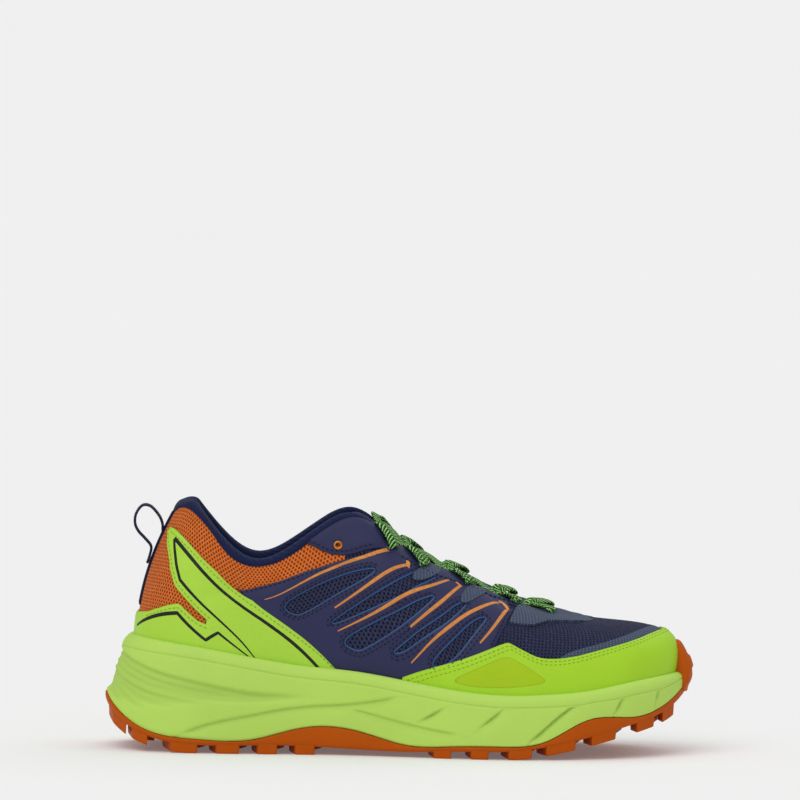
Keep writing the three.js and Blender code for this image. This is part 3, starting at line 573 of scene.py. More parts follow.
class Finish:
    """Shorthand for one material's nodes."""

    def __init__(self, name, roughness=0.6, coat=0.0, sheen=0.0, specular=0.2):
        self.material = bpy.data.materials.new(name)
        self.material.use_nodes = True
        self.tree = self.material.node_tree
        self.surface = self.tree.nodes["Principled BSDF"]
        self.surface.inputs["Roughness"].default_value = roughness
        self.surface.inputs["Coat Weight"].default_value = coat
        self.surface.inputs["Coat Roughness"].default_value = 0.35
        self.surface.inputs["Sheen Weight"].default_value = sheen
        self.surface.inputs["Specular IOR Level"].default_value = specular

    def node(self, kind, **settings):
        node = self.tree.nodes.new(kind)
        for name, value in settings.items():
            setattr(node, name, value)
        return node

    def feed(self, value, socket):
        if isinstance(value, bpy.types.NodeSocket):
            self.tree.links.new(value, socket)
        else:
            socket.default_value = value

    def math(self, operation, a, b=0.0, clamp=False):
        node = self.node("ShaderNodeMath", operation=operation, use_clamp=clamp)
        self.feed(a, node.inputs[0])
        self.feed(b, node.inputs[1])
        return node.outputs[0]

    def vector(self, operation, a, b=(0, 0, 0), output=0):
        node = self.node("ShaderNodeVectorMath", operation=operation)
        self.feed(a, node.inputs[0])
        self.feed(b, node.inputs[1])
        return node.outputs[output]

    def between(self, value, low, high):
        """0 under low, 1 over high, smooth between."""
        node = self.node("ShaderNodeMapRange", interpolation_type="SMOOTHSTEP")
        self.feed(value, node.inputs["Value"])
        node.inputs["From Min"].default_value = low
        node.inputs["From Max"].default_value = high
        return node.outputs["Result"]

    def blend(self, factor, a, b):
        node = self.node("ShaderNodeMix", data_type="RGBA")
        self.feed(factor, node.inputs[0])
        self.feed(a, node.inputs[6])
        self.feed(b, node.inputs[7])
        return node.outputs[2]

    def attribute(self, name):
        return self.node("ShaderNodeAttribute", attribute_name=name).outputs["Fac"]

    def objects(self):
        return self.node("ShaderNodeTexCoord").outputs["Object"]

    def uv(self):
        return self.node("ShaderNodeTexCoord").outputs["UV"]

    def noise(self, scale, detail=3.0, vector=None):
        node = self.node("ShaderNodeTexNoise")
        self.feed(vector or self.objects(), node.inputs["Vector"])
        node.inputs["Scale"].default_value = scale
        node.inputs["Detail"].default_value = detail
        return node.outputs["Fac"]

    def bump(self, height, depth, strength=1.0, below=None):
        node = self.node("ShaderNodeBump")
        node.inputs["Strength"].default_value = strength
        node.inputs["Distance"].default_value = depth
        self.feed(height, node.inputs["Height"])
        if below is not None:
            self.feed(below, node.inputs["Normal"])
        return node.outputs["Normal"]

    def finish(self, colour, normal=None, roughness=None):
        self.feed(colour, self.surface.inputs["Base Color"])
        if normal is not None:
            self.feed(normal, self.surface.inputs["Normal"])
        if roughness is not None:
            self.feed(roughness, self.surface.inputs["Roughness"])
        return self.material


def shade(colour, factor):
    return tuple(c * factor for c in colour[:3]) + (1.0,)


def holes_of_mesh(finish, pitch, uv):
    """1 in the holes of an open knit, in staggered rows, from a surface map in metres."""
    scaled = finish.vector("MULTIPLY", uv, (1000 / pitch, 1000 / (pitch * 1.55), 0))
    halves = []
    for shift in (0.0, 0.5):
        moved = finish.vector("ADD", scaled, (shift, shift, 0))
        cell = finish.vector("SUBTRACT", finish.vector("FRACTION", moved), (0.5, 0.5, 0))
        stretched = finish.vector("MULTIPLY", cell, (1.0, 1.25, 0))
        halves.append(finish.vector("LENGTH", stretched, output=1))
    nearest = finish.math("MINIMUM", halves[0], halves[1])
    return finish.math("SUBTRACT", 1.0, finish.between(nearest, 0.15, 0.30))


def knit_material(colours):
    """Open knit of the upper: orange behind the heel panel, navy elsewhere, with painted shade in its holes."""
    finish = Finish("open_knit", roughness=0.85, sheen=0.05, specular=0.12)
    uv = finish.uv()
    holes = holes_of_mesh(finish, 2.2, uv)
    orange = finish.between(finish.attribute("orange"), -0.05, 0.05)
    speck = finish.between(finish.noise(900, 2), 0.5, 0.68)
    tone = finish.noise(60, 3)
    yarn_navy = finish.blend(tone, shade(colours.navy_knit, 0.8), shade(colours.navy_knit, 1.25))
    yarn_navy = finish.blend(finish.math("MULTIPLY", speck, 0.35), yarn_navy, shade(colours.navy_knit, 2.6))
    yarn_orange = finish.blend(tone, shade(colours.orange_knit, 0.85), shade(colours.orange_knit, 1.15))
    light = (0.72, 0.28, 0.11, 1)
    yarn_orange = finish.blend(finish.math("MULTIPLY", speck, 0.5), yarn_orange, light)
    yarn = finish.blend(orange, yarn_navy, yarn_orange)
    # Painted shade in the knit's holes: very dark navy, and dark orange behind the heel panel.
    depth = finish.blend(orange, shade(colours.navy_knit, 0.16), (0.20, 0.035, 0.008, 1))
    colour = finish.blend(holes, yarn, depth)
    ground = finish.bump(finish.math("SUBTRACT", 1.0, holes), 0.0006, 0.9)
    grain = finish.bump(finish.noise(1600, 2), 0.00025, 0.5, ground)
    return finish.finish(colour, grain)


def cloth_material(name, colour, pitch=0.9, lighter=1.35):
    """Close padded textile with a fine rib, with painted highlight on the rib's raised bands."""
    finish = Finish(name, roughness=0.9, sheen=0.06, specular=0.12)
    wave = finish.node("ShaderNodeTexWave", wave_type="BANDS", bands_direction="DIAGONAL")
    finish.feed(finish.uv(), wave.inputs["Vector"])
    wave.inputs["Scale"].default_value = 1000 / pitch / 6.3
    wave.inputs["Distortion"].default_value = 0.6
    tone = finish.noise(140, 4)
    body = finish.blend(tone, shade(colour, 0.8), shade(colour, lighter))
    # Painted highlight: the raised bands of the rib are painted lighter.
    raised_rib_highlight = finish.math("MULTIPLY", wave.outputs["Fac"], 0.45)
    body = finish.blend(raised_rib_highlight, body, shade(colour, lighter * 1.25))
    weave = finish.bump(wave.outputs["Fac"], 0.0003, 0.6)
    return finish.finish(body, finish.bump(finish.noise(1300, 2), 0.0002, 0.5, weave))


def film_material(name, colour, rim_colour=None, grain=0.00012, roughness=0.5, coat=0.0):
    """Welded film or coated leather: fine pebble, with painted shade along its edge."""
    finish = Finish(name, roughness=roughness, coat=coat)
    tone = finish.noise(45, 4)
    body = finish.blend(tone, shade(colour, 0.93), shade(colour, 1.06))
    # Painted shade: darker within 0.55 mm of the outline, where the film's edge rolls down onto the part below.
    cut = finish.math("SUBTRACT", 1.0, finish.between(finish.attribute("edge"), 0.0, 0.55))
    body = finish.blend(finish.math("MULTIPLY", cut, 0.45), body, shade(colour, 0.55))
    if rim_colour:
        line = finish.math("SUBTRACT", 1.0, finish.between(finish.attribute("window"), 0.25, 0.45))
        body = finish.blend(line, body, tuple(rim_colour) + (1.0,))
    pebble = finish.node("ShaderNodeTexVoronoi", feature="SMOOTH_F1")
    finish.feed(finish.objects(), pebble.inputs["Vector"])
    pebble.inputs["Scale"].default_value = 1500
    skin_grain = finish.bump(pebble.outputs["Distance"], grain, 0.6)
    scuff = finish.between(finish.noise(25, 5), 0.3, 0.75)
    rough = finish.math("ADD", roughness - 0.08, finish.math("MULTIPLY", scuff, 0.16))
    return finish.finish(body, skin_grain, rough)


def dotted_film_material(colour):
    """Thin film over the knit: the knit's cells show through it as paler dots."""
    finish = Finish("pale_film", roughness=0.6)
    dots = holes_of_mesh(finish, 2.0, finish.uv())
    tone = finish.noise(60, 3)
    body = finish.blend(tone, shade(colour, 0.62), shade(colour, 0.86))
    body = finish.blend(dots, body, shade(colour, 1.75))
    raised = finish.bump(dots, 0.0004, 0.8)
    return finish.finish(body, finish.bump(finish.noise(1400, 2), 0.0002, 0.5, raised))


def foam_material(colours):
    """Moulded foam: pale, matte, with a fine skin and faint mottling, and painted shade in its ripples, cuts and the
    groove under the lip.
    """
    finish = Finish("moulded_foam", roughness=0.62, specular=0.3)
    mottle = finish.noise(35, 5)
    colour = finish.blend(mottle, shade(colours.foam, 0.93), shade(colours.foam, 1.05))
    # Painted shade: darker where the hollow attribute says the side is sunk in.
    hollow = finish.between(finish.attribute("hollow"), 0.1, 1.1)
    colour = finish.blend(finish.math("MULTIPLY", hollow, 0.28), colour, shade(colours.foam, 0.62))
    fine = finish.bump(finish.noise(900, 3), 0.00012, 0.35)
    return finish.finish(colour, fine, finish.math("ADD", 0.52, finish.math("MULTIPLY", mottle, 0.2)))


def rubber_material(colours):
    """Outsole rubber: saturated orange, satin, with faint mottling."""
    finish = Finish("outsole_rubber", roughness=0.55, specular=0.1)
    mottle = finish.noise(40, 4)
    colour = finish.blend(mottle, shade(colours.rubber, 0.88), shade(colours.rubber, 1.08))
    grain = finish.bump(finish.noise(700, 3), 0.00018, 0.4)
    return finish.finish(colour, grain, finish.math("ADD", 0.42, finish.math("MULTIPLY", mottle, 0.2)))


def thread_material(name, colour):
    finish = Finish(name, roughness=0.7, sheen=0.05)
    twist = finish.node("ShaderNodeTexWave", wave_type="BANDS", bands_direction="DIAGONAL")
    finish.feed(finish.objects(), twist.inputs["Vector"])
    twist.inputs["Scale"].default_value = 700
    # Painted highlight and shade: the raised twists are painted lighter and the grooves darker.
    body = finish.blend(twist.outputs["Fac"], shade(colour, 0.75), shade(colour, 1.2))
    return finish.finish(body, finish.bump(twist.outputs["Fac"], 0.0001, 0.5))


def lace_material(colours):
    """Braided lace: dark cord with bright chevrons that follow the braid, with painted highlight on its raised plies
    and painted shade between them.
    """
    finish = Finish("braided_lace", roughness=0.75, sheen=0.05)
    run = finish.math("MULTIPLY", finish.attribute("lace_run"), 1000.0)
    around = finish.attribute("lace_round")
    turns = finish.math("FRACT", finish.math("MULTIPLY", around, 2.0))
    fold = finish.math("ABSOLUTE", finish.math("SUBTRACT", turns, 0.5))
    phase = finish.math("ADD", finish.math("DIVIDE", run, 2.1), finish.math("MULTIPLY", fold, 3.2))
    stripe = finish.math("ABSOLUTE", finish.math("SUBTRACT", finish.math("FRACT", phase), 0.5))
    bright = finish.math("SUBTRACT", 1.0, finish.between(stripe, 0.16, 0.24))
    ply = finish.math("ADD", finish.math("MULTIPLY", run, 7.5), finish.math("MULTIPLY", fold, 22.0))
    ply = finish.between(finish.math("SINE", ply), -1.0, 1.0)
    # Painted highlight and shade: the raised plies are painted lighter and the grooves between them darker.
    dark = finish.blend(ply, shade(colours.lace_dark, 0.5), shade(colours.lace_dark, 1.6))
    green = finish.blend(ply, shade(colours.lace_bright, 0.7), shade(colours.lace_bright, 1.15))
    colour = finish.blend(bright, dark, green)
    return finish.finish(colour, finish.bump(ply, 0.0004, 0.8))


def webbing_material(name, colour, pitch=0.8):
    finish = Finish(name, roughness=0.8, sheen=0.05)
    run = finish.math("MULTIPLY", finish.attribute("lace_run"), 1000.0 / pitch * math.tau)
    rib_wave = finish.between(finish.math("SINE", run), -1.0, 1.0)
    # Painted highlight and shade: the raised ribs of the webbing are painted lighter and the grooves darker.
    body = finish.blend(rib_wave, shade(colour, 0.7), shade(colour, 1.5))
    return finish.finish(body, finish.bump(rib_wave, 0.0003, 0.7))


def metal_material(colour):
    finish = Finish("ring_metal", roughness=0.32)
    finish.surface.inputs["Metallic"].default_value = 0.85
    worn = finish.noise(300, 3)
    body = finish.blend(worn, shade(colour, 0.8), shade(colour, 1.2))
    return finish.finish(body, finish.bump(worn, 0.00005, 0.4))


# Geometry Nodes trees

def new_tree(name, inputs):
    tree = bpy.data.node_groups.new(name, "GeometryNodeTree")
    tree.interface.new_socket("Geometry", in_out="INPUT", socket_type="NodeSocketGeometry")
    for label, kind, default in inputs:
        socket = tree.interface.new_socket(label, in_out="INPUT", socket_type=kind)
        if default is not None:
            socket.default_value = default
    tree.interface.new_socket("Geometry", in_out="OUTPUT", socket_type="NodeSocketGeometry")
    return tree, tree.nodes.new("NodeGroupInput"), tree.nodes.new("NodeGroupOutput")


def named_vector(tree, name):
    node = tree.nodes.new("GeometryNodeInputNamedAttribute")
    node.data_type = "FLOAT_VECTOR"
    node.inputs["Name"].default_value = name
    return node.outputs["Attribute"]


def stitch_tree():
    """Stitches of one length set along the paths of a mesh, lying on its face."""
    tree, given, made = new_tree("stitches_along_paths", (
        ("Pitch", "NodeSocketFloat", 0.0025), ("Length", "NodeSocketFloat", 0.0016),
        ("Thread", "NodeSocketFloat", 0.0005), ("Material", "NodeSocketMaterial", None)))
    link = tree.links.new
    to_curve = tree.nodes.new("GeometryNodeMeshToCurve")
    link(given.outputs["Geometry"], to_curve.inputs["Mesh"])
    resample = tree.nodes.new("GeometryNodeResampleCurve")
    resample.mode = "LENGTH"
    link(to_curve.outputs["Curve"], resample.inputs["Curve"])
    link(given.outputs["Pitch"], resample.inputs["Length"])
    axes = tree.nodes.new("FunctionNodeAxesToRotation")
    axes.primary_axis = "X"
    axes.secondary_axis = "Z"
    tangent = tree.nodes.new("GeometryNodeInputTangent")
    link(tangent.outputs["Tangent"], axes.inputs["Primary Axis"])
    link(named_vector(tree, "face"), axes.inputs["Secondary Axis"])
    ball = tree.nodes.new("GeometryNodeMeshUVSphere")
    ball.inputs["Segments"].default_value = 8
    ball.inputs["Rings"].default_value = 5
    ball.inputs["Radius"].default_value = 0.5
    size = tree.nodes.new("ShaderNodeCombineXYZ")
    link(given.outputs["Length"], size.inputs["X"])
    link(given.outputs["Thread"], size.inputs["Y"])
    link(given.outputs["Thread"], size.inputs["Z"])
    place = tree.nodes.new("GeometryNodeInstanceOnPoints")
    link(resample.outputs["Curve"], place.inputs["Points"])
    link(ball.outputs["Mesh"], place.inputs["Instance"])
    link(axes.outputs["Rotation"], place.inputs["Rotation"])
    link(size.outputs["Vector"], place.inputs["Scale"])
    real = tree.nodes.new("GeometryNodeRealizeInstances")
    link(place.outputs["Instances"], real.inputs["Geometry"])
    smooth = tree.nodes.new("GeometryNodeSetShadeSmooth")
    link(real.outputs["Geometry"], smooth.inputs["Geometry"])
    coat = tree.nodes.new("GeometryNodeSetMaterial")
    link(smooth.outputs["Geometry"], coat.inputs["Geometry"])
    link(given.outputs["Material"], coat.inputs["Material"])
    link(coat.outputs["Geometry"], made.inputs["Geometry"])
    return tree


def band_tree():
    """Flat band with round edges swept along the paths of a mesh, lying on its face."""
    tree, given, made = new_tree("bands_along_paths", (
        ("Width", "NodeSocketFloat", 0.005), ("Thickness", "NodeSocketFloat", 0.0016),
        ("Step", "NodeSocketFloat", 0.0007), ("Material", "NodeSocketMaterial", None)))
    link = tree.links.new
    to_curve = tree.nodes.new("GeometryNodeMeshToCurve")
    link(given.outputs["Geometry"], to_curve.inputs["Mesh"])
    resample = tree.nodes.new("GeometryNodeResampleCurve")
    resample.mode = "LENGTH"
    link(to_curve.outputs["Curve"], resample.inputs["Curve"])
    link(given.outputs["Step"], resample.inputs["Length"])
    turn = tree.nodes.new("GeometryNodeSetCurveNormal")
    turn.mode = "FREE"
    link(resample.outputs["Curve"], turn.inputs["Curve"])
    link(named_vector(tree, "face"), turn.inputs["Normal"])
    run = tree.nodes.new("GeometryNodeSplineParameter")
    keep_run = tree.nodes.new("GeometryNodeStoreNamedAttribute")
    keep_run.domain = "POINT"
    keep_run.inputs["Name"].default_value = "lace_run"
    link(turn.outputs["Curve"], keep_run.inputs["Geometry"])
    link(run.outputs["Length"], keep_run.inputs["Value"])
    ring = tree.nodes.new("GeometryNodeCurvePrimitiveCircle")
    ring.inputs["Resolution"].default_value = 18
    ring.inputs["Radius"].default_value = 0.5
    round_place = tree.nodes.new("GeometryNodeSplineParameter")
    keep_round = tree.nodes.new("GeometryNodeStoreNamedAttribute")
    keep_round.domain = "POINT"
    keep_round.inputs["Name"].default_value = "lace_round"
    link(ring.outputs["Curve"], keep_round.inputs["Geometry"])
    link(round_place.outputs["Factor"], keep_round.inputs["Value"])
    size = tree.nodes.new("ShaderNodeCombineXYZ")
    link(given.outputs["Thickness"], size.inputs["X"])
    link(given.outputs["Width"], size.inputs["Y"])
    size.inputs["Z"].default_value = 1.0
    scale = tree.nodes.new("GeometryNodeTransform")
    link(keep_round.outputs["Geometry"], scale.inputs["Geometry"])
    link(size.outputs["Vector"], scale.inputs["Scale"])
    sweep = tree.nodes.new("GeometryNodeCurveToMesh")
    sweep.inputs["Fill Caps"].default_value = True
    link(keep_run.outputs["Geometry"], sweep.inputs["Curve"])
    link(scale.outputs["Geometry"], sweep.inputs["Profile Curve"])
    smooth = tree.nodes.new("GeometryNodeSetShadeSmooth")
    link(sweep.outputs["Mesh"], smooth.inputs["Geometry"])
    real = tree.nodes.new("GeometryNodeRealizeInstances")
    link(smooth.outputs["Geometry"], real.inputs["Geometry"])
    coat = tree.nodes.new("GeometryNodeSetMaterial")
    link(real.outputs["Geometry"], coat.inputs["Geometry"])
    link(given.outputs["Material"], coat.inputs["Material"])
    link(coat.outputs["Geometry"], made.inputs["Geometry"])
    return tree


def along_paths(name, tree, paths, values):
    """Runs a tree on paths of (place, face) arrays in millimetres, and returns the plain mesh."""
    points = np.vstack([p for p, _ in paths])
    faces = np.vstack([f for _, f in paths])
    edges = []
    start = 0
    for p, _ in paths:
        edges += [(start + i, start + i + 1) for i in range(len(p) - 1)]
        start += len(p)
    lines = bpy.data.meshes.new(name + "_paths")
    lines.from_pydata(((points - PLAN_CENTRE) * 0.001).tolist(), edges, [])
    layer = lines.attributes.new("face", "FLOAT_VECTOR", "POINT")
    layer.data.foreach_set("vector", faces.astype(np.float32).ravel())
    carrier = bpy.data.objects.new(name + "_carrier", lines)
    bpy.context.scene.collection.objects.link(carrier)
    modifier = carrier.modifiers.new("paths", "NODES")
    modifier.node_group = tree
    for socket in tree.interface.items_tree:
        if socket.item_type == "SOCKET" and socket.in_out == "INPUT" and socket.name in values:
            modifier[socket.identifier] = values[socket.name]
    view = bpy.context.evaluated_depsgraph_get()
    mesh = bpy.data.meshes.new_from_object(carrier.evaluated_get(view))
    piece = bpy.data.objects.new(name, mesh)
    bpy.context.scene.collection.objects.link(piece)
    bpy.data.objects.remove(carrier)
    face_outwards(mesh)
    return piece


def surface_path(flat, lift):
    """Places and faces of a path on the chart, lifted off the surface."""
    u, q = flat[:, 0] / CHART_ROUND, flat[:, 1] / CHART_RISE
    return skin(u, q, lift), rib_normal(u, level(u, q))


def on_side(flat, side):
    """A path on the chart as it is for the outer side, or mirrored for the inner side."""
    return flat if side == "lateral" else np.array([CHART_ROUND, 0]) + flat * [-1, 1]


def both_sides(flat):
    return [on_side(flat, side) for side in SIDES]


def over_toe(half):
    """Closes an outline with its mirror image beyond the toe's middle line."""
    return np.vstack([half, on_side(half[-2:0:-1], "medial")])


def on_chart(pixels):
    return chart(*seen(pixels).T)


def smooth_rows(points, count):
    """Resamples each row of control points along a smooth curve through them."""
    points = np.asarray(points, float)
    size = points.shape[-2]
    place = np.linspace(0, size - 1, count)
    i = np.minimum(place.astype(int), size - 2)
    f = (place - i)[:, None]
    at = [points[..., np.clip(i + k, 0, size - 1), :] for k in (-1, 0, 1, 2)]
    return 0.5 * (2 * at[1] + (at[2] - at[0]) * f + (2 * at[0] - 5 * at[1] + 4 * at[2] - at[3]) * f**2
                  + (3 * at[1] - at[0] - 3 * at[2] + at[3]) * f**3)


def shell(name, rings, materials, ends="ring", sharp=None, **extra):
    """Object from rings of equal length. Ends: ring joins last to first, rungs and caps close each end."""
    rings = np.asarray(rings)
    count = rings.shape[1]
    faces = ring_faces(len(rings), count, ends == "ring", ends == "rungs")
    if ends == "caps":
        faces.append(tuple(range(count)))
        faces.append(tuple(range((len(rings) - 1) * count, len(rings) * count))[::-1])
    return make_mesh(name, rings.reshape(-1, 3), faces, materials, sharp=sharp, **extra)


AROUND = 560
ROUND_U = np.arange(AROUND) / AROUND

# Traced lines of the outer side, as pixels of the photograph
SADDLE_TOP = ((241, 590.4), (263.7, 584.3), (300.4, 573), (324.9, 566), (345.3, 559.8), (365.7, 555.7),
              (400, 552))
STRAP_FRONT = ((175.5, 529), (240.8, 588.5), (292, 629), (345, 671.5))
STRAP_BACK = ((207, 619.8), (181.6, 593.3), (175.5, 586), (173, 577), (170.4, 553.5), (168.4, 533),
              (171.9, 527.4))
HEEL_TOP = ((150, 611.5), (161.2, 607.6), (177.8, 603.6), (180.6, 604.5), (198, 620.8), (206, 624.4))
RAND_TOP = ((403, 677), (420.4, 671), (451, 662.9), (481.6, 652.7), (504, 644), (510, 643.5), (527.6, 653.7),
            (537.8, 658.3), (550, 659.8), (570.6, 658.3), (601, 650.6), (631.8, 641.9), (652, 633.3), (663, 625))
SADDLE_FRONT = ((494, 647.6), (503, 630), (512.7, 610.8))
STAY_CORNER = ((308.6, 544.3), (326.9, 553.5), (337.1, 555.5), (352.4, 555), (372, 549))
WINDOWS = (
    ((283, 608.6), (296.3, 615.7), (306.5, 611.6), (332, 596.3), (362.7, 580), (378, 568.8), (362.7, 570.3),
     (321.8, 583), (291, 598.4)),
    ((331, 623), (337, 623), (366, 611), (400, 597), (423, 583), (441, 567), (425, 569), (400, 581), (370, 597),
     (345, 613)),
    ((343, 643.5), (357.6, 651.6), (370, 645.5), (400, 627), (420, 611), (437, 594.5), (420, 600), (400, 611),
     (372, 624), (351, 635)),
    ((392, 653.7), (404, 652), (420.8, 639.4), (451.4, 619), (469, 601.5), (456, 605), (441, 617),
     (421, 630), (404.5, 643.5)),
    ((431, 666), (441, 666), (453.5, 659.8), (473.9, 633.3), (488, 617), (478, 619), (465.7, 627), (441, 651.6)),
)
BAND_LOW = ((172.3, 505), (181.7, 506), (191.7, 508.5), (203.3, 518.3), (211.7, 531.7), (221.7, 548.3), (233.3, 560),
            (246.7, 565.7), (263.3, 566), (280, 561.7), (300, 550), (316.7, 536.7), (333.3, 525), (348.3, 520),
            (363.3, 521.7), (373.3, 526.7))
# Stripes printed on the saddle: their pixels and their widths from end to end, in millimetres
V_LINES = (
    (((264.7, 599.6), (304.5, 580), (345, 564), (376, 555.7), (406.5, 553.7)), (0.5, 1.3, 1.4, 1.1)),
    (((335, 607.8), (376, 580), (406.5, 566)), (0.8, 1.4, 1.1)),
    (((338, 631), (380, 611), (410.6, 592.4), (449.4, 581)), (0.5, 1.3, 1.3, 0.9)),
    (((410.6, 627), (436, 606), (459.6, 587.3)), (0.8, 1.4, 1.1)),
    (((411.6, 662.9), (435, 637.3), (461.6, 617), (482, 607.8), (499.4, 603.7)), (0.5, 1.3, 1.4, 1.1)),
    (((480, 643.5), (495, 626), (506.5, 610.8)), (0.7, 1.3, 1.4)),
    (((404, 553), (407, 558), (407, 568)), (1.6, 2.2, 1.6)),
    (((448, 580), (454, 582), (461, 588)), (1.6, 2.4, 1.6)),
    (((498, 602.5), (503, 605), (508, 612)), (1.6, 2.4, 1.6)),
)
HEEL_PRINTS = (
    (((176.7, 539), (176.7, 539), (203.3, 571), (246.7, 607.7), (286.7, 637), (328.3, 670)),
     (1.9, 2.2, 2.1, 2.0, 1.8, 1.3)),
    (((176.3, 539), (177, 556.7), (181, 580), (181, 580), (200, 601.7), (220, 620), (240, 639), (255, 657.5)),
     (1.9, 2.0, 1.9, 1.8, 1.5, 1.3, 1.0, 0.6)),
    (((140, 625.5), (156.7, 616), (178.3, 613), (178.3, 613), (206, 640), (206, 640), (218.3, 632.5), (218.3, 632.5),
      (234, 645), (248.3, 656)), (1.0, 1.6, 1.8, 1.9, 1.9, 1.8, 1.7, 1.6, 1.2, 0.7)),
)
RAND_PRINT = ((450, 680), (478, 668), (500, 658.5), (508, 657.5), (516, 661), (534, 672), (548, 682), (533, 686),
              (500, 688), (466, 686))
FILMS = (
    ((407.6, 577), (420, 582.7), (444, 573.5), (430.5, 564.3)),
    ((455.8, 601), (468.4, 605.6), (489, 595.3), (474, 586)),
)

# Films that cross the middle line: lower and upper edge, each from the side towards the toe's middle,
# the level of each edge on the middle line, and whether the film passes over the eyestays' ends
TOE_FILMS = (
    (((508.6, 622.8), (523.5, 625.7), (536, 625.8), (548, 622)),
     ((508.6, 622.8), (514, 611), (520, 604)), (0.84, 0.975), True),
    (((560, 658), (572, 660), (601, 652), (631.8, 643), (652, 634.5), (660, 629)),
     ((560, 658), (572, 651), (604.8, 642.4), (629, 634), (642.4, 628), (652, 622.5)), (0.365, 0.455), False),
)

# Cuts in the foam's side as [row, level], with their depth and half width in millimetres
FOAM_CUTS = (
    (((2.6, .03), (3.4, .22), (4.25, .32), (5.4, .33), (6, .42), (6.85, .72)), 1.3, 0.8),
    (((5.9, .34), (6.9, .33), (7.3, .31), (8.1, .2)), 1.1, 0.8),
    (((7.25, .38), (7.8, .68)), 1.8, 0.6),
    (((8.5, .34), (9.03, .75)), 1.9, 0.6),
    (((9.6, .06), (10.1, .36), (10.7, .66)), 2.0, 0.6),
    (((11.5, .06), (11.75, .72)), 1.9, 0.6),
    (((12.5, .15), (12.65, .74)), 1.8, 0.6),
)
# Ripples of the heel: level at the back, and the row and level where each one fades out
RIPPLES = ((.91, 5.2, .62), (.77, 4.5, .58), (.62, 3.8, .55), (.47, 3.1, .46), (.36, 2.5, .38),
           (.25, 1.9, .27), (.14, 1.3, .16))
RIPPLE_DEPTH = 1.9
RIPPLE_WIDTH = 1.7
LIP_HEIGHT = 6.0
LIP_STEP = 0.45
# Section of the foam's lip: share of its height under the rim, and how deep it lies in steps
LIP_PROFILE = ((1.1, .25), (1.06, .75), (1.03, .95), (1.0, .85), (.96, .45), (.92, .12), (.86, -.08),
               (.7, -.15), (.55, 0), (.42, .35), (.32, .75), (.24, 1.25), (.16, 1.85), (.09, 2.6),
               (.04, 3.3), (0, 4.1))
BELLY = 0.6

LUG_ROWS = (
    (.018, .026, .82, False), (.055, .029, .63, True), (.127, .051, .54, True), (.212, .044, .54, True),
    (.289, .037, .54, True), (.359, .037, .54, True), (.617, .033, .51, True), (.686, .033, .51, True),
    (.756, .044, .51, True), (.826, .055, .51, True), (.910, .046, .54, True), (.994, .033, .60, True),
    (1.042, .022, .82, False),
)
LACE_HOLES = (.664, .514, .329, .164, .055)
EYELET_LEVEL = 0.88
SIDES = ("lateral", "medial")

# How far the panels and films lie off the surface and how thick they are, in millimetres
LIME_LIFT = 0.85
LIME_THICKNESS = 0.75
SADDLE_LIFT = 0.15
SADDLE_THICKNESS = 0.9
STAY_LIFT = 0.35
STAY_THICKNESS = 0.95
FILM_ON_KNIT = 0.05
FILM_OVER_STAY = 1.35
FILM_THICKNESS = 0.2
STITCH_LIFTS = {"heel": 1.62, "rand": 1.52, "saddle": 1.08, "saddle_front": 1.12, "eyestay": 1.38}
# The mesh size of the prints and the depth of their underside, in millimetres
PRINT_GRID = 0.9
PRINT_SINK = 1.3
# Lower and upper level of the eyestays, the pixel of the spare eyelet, and its ring in millimetres
STAY_LEVELS = (0.775, 0.985)
SPARE_EYELET = (338.2, 545.8)
RING_LIFT = 1.35
RING_RADIUS = 1.75
RING_WIDTH = 0.62
RING_HEIGHT = 0.5
# Row where the padded collar band ends on each side
COLLAR_END = 7.35
LOOP_LINE = ((1.6, -6), (0.4, -2.2), (-0.2, 2.4), (2.9, 6.4), (6.3, 10), (8.1, 14), (7.6, 19), (4.4, 23.2),
             (.2, 22.8), (-3.9, 18.4), (-5.8, 14.2), (-6.0, 10.4), (-6.6, 7.0))


def chart_u(row):
    """Chart place along the outer side of a level line, from its row."""
    return station(row) * CHART_ROUND


def near_rim(pixel):
    """Chart place along the shoe where a pixel meets the rim."""
    return on_chart([pixel])[0, 0]


def low_edge(start, end, q=-0.06, step=6.0):
    """Edge that tucks in under the midsole's rim, from one chart place to another."""
    count = max(2, int(abs(end - start) / step))
    return np.stack([np.linspace(start, end, count), np.full(count, q * CHART_RISE)], axis=1)


def heel_outline():
    back = on_chart(HEEL_TOP)
    strap = softened(on_chart(STRAP_BACK), closed=False)
    front = softened(on_chart(STRAP_FRONT), closed=False, passes=1)
    top = np.vstack([[[0, back[0, 1] - 2.2]], back])
    half = np.vstack([top, strap, front, low_edge(front[-1, 0] + 1, 0)])
    other = half[:0:-1].copy()
    other[:, 0] *= -1
    return np.vstack([half, other[1:]])


def rand_outline():
    edge = softened(on_chart(RAND_TOP), closed=False, passes=1)
    middle = CHART_ROUND / 2
    start = edge[0, 0] - 2
    return over_toe(np.vstack([low_edge(middle, start), edge, [[middle, edge[-1, 1] + 2]]]))


def saddle_outline():
    top = softened(on_chart(SADDLE_TOP), closed=False, passes=1)
    front = on_chart(SADDLE_FRONT)
    high = 0.82 * CHART_RISE
    rand = softened(on_chart(RAND_TOP[:5]), closed=False, passes=1)
    strap = on_chart(STRAP_FRONT[1:])
    return np.vstack([top, [[top[-1, 0] + 6, high], [front[-1, 0] + 3, high]], front[::-1],
                      rand[::-1] - [0, 2.0], low_edge(rand[0, 0], strap[-1, 0] - 3),
                      strap[::-1] - [2.2, 0.6]])


def film_lift(flat):
    """Height of the film under the laces: over the eyestays' ends, and down on the knit in the middle."""
    away = np.abs(flat[:, 0] - CHART_ROUND / 2)
    return lerp(FILM_ON_KNIT + 0.2, FILM_OVER_STAY, smoothstep(away, 36, 49))


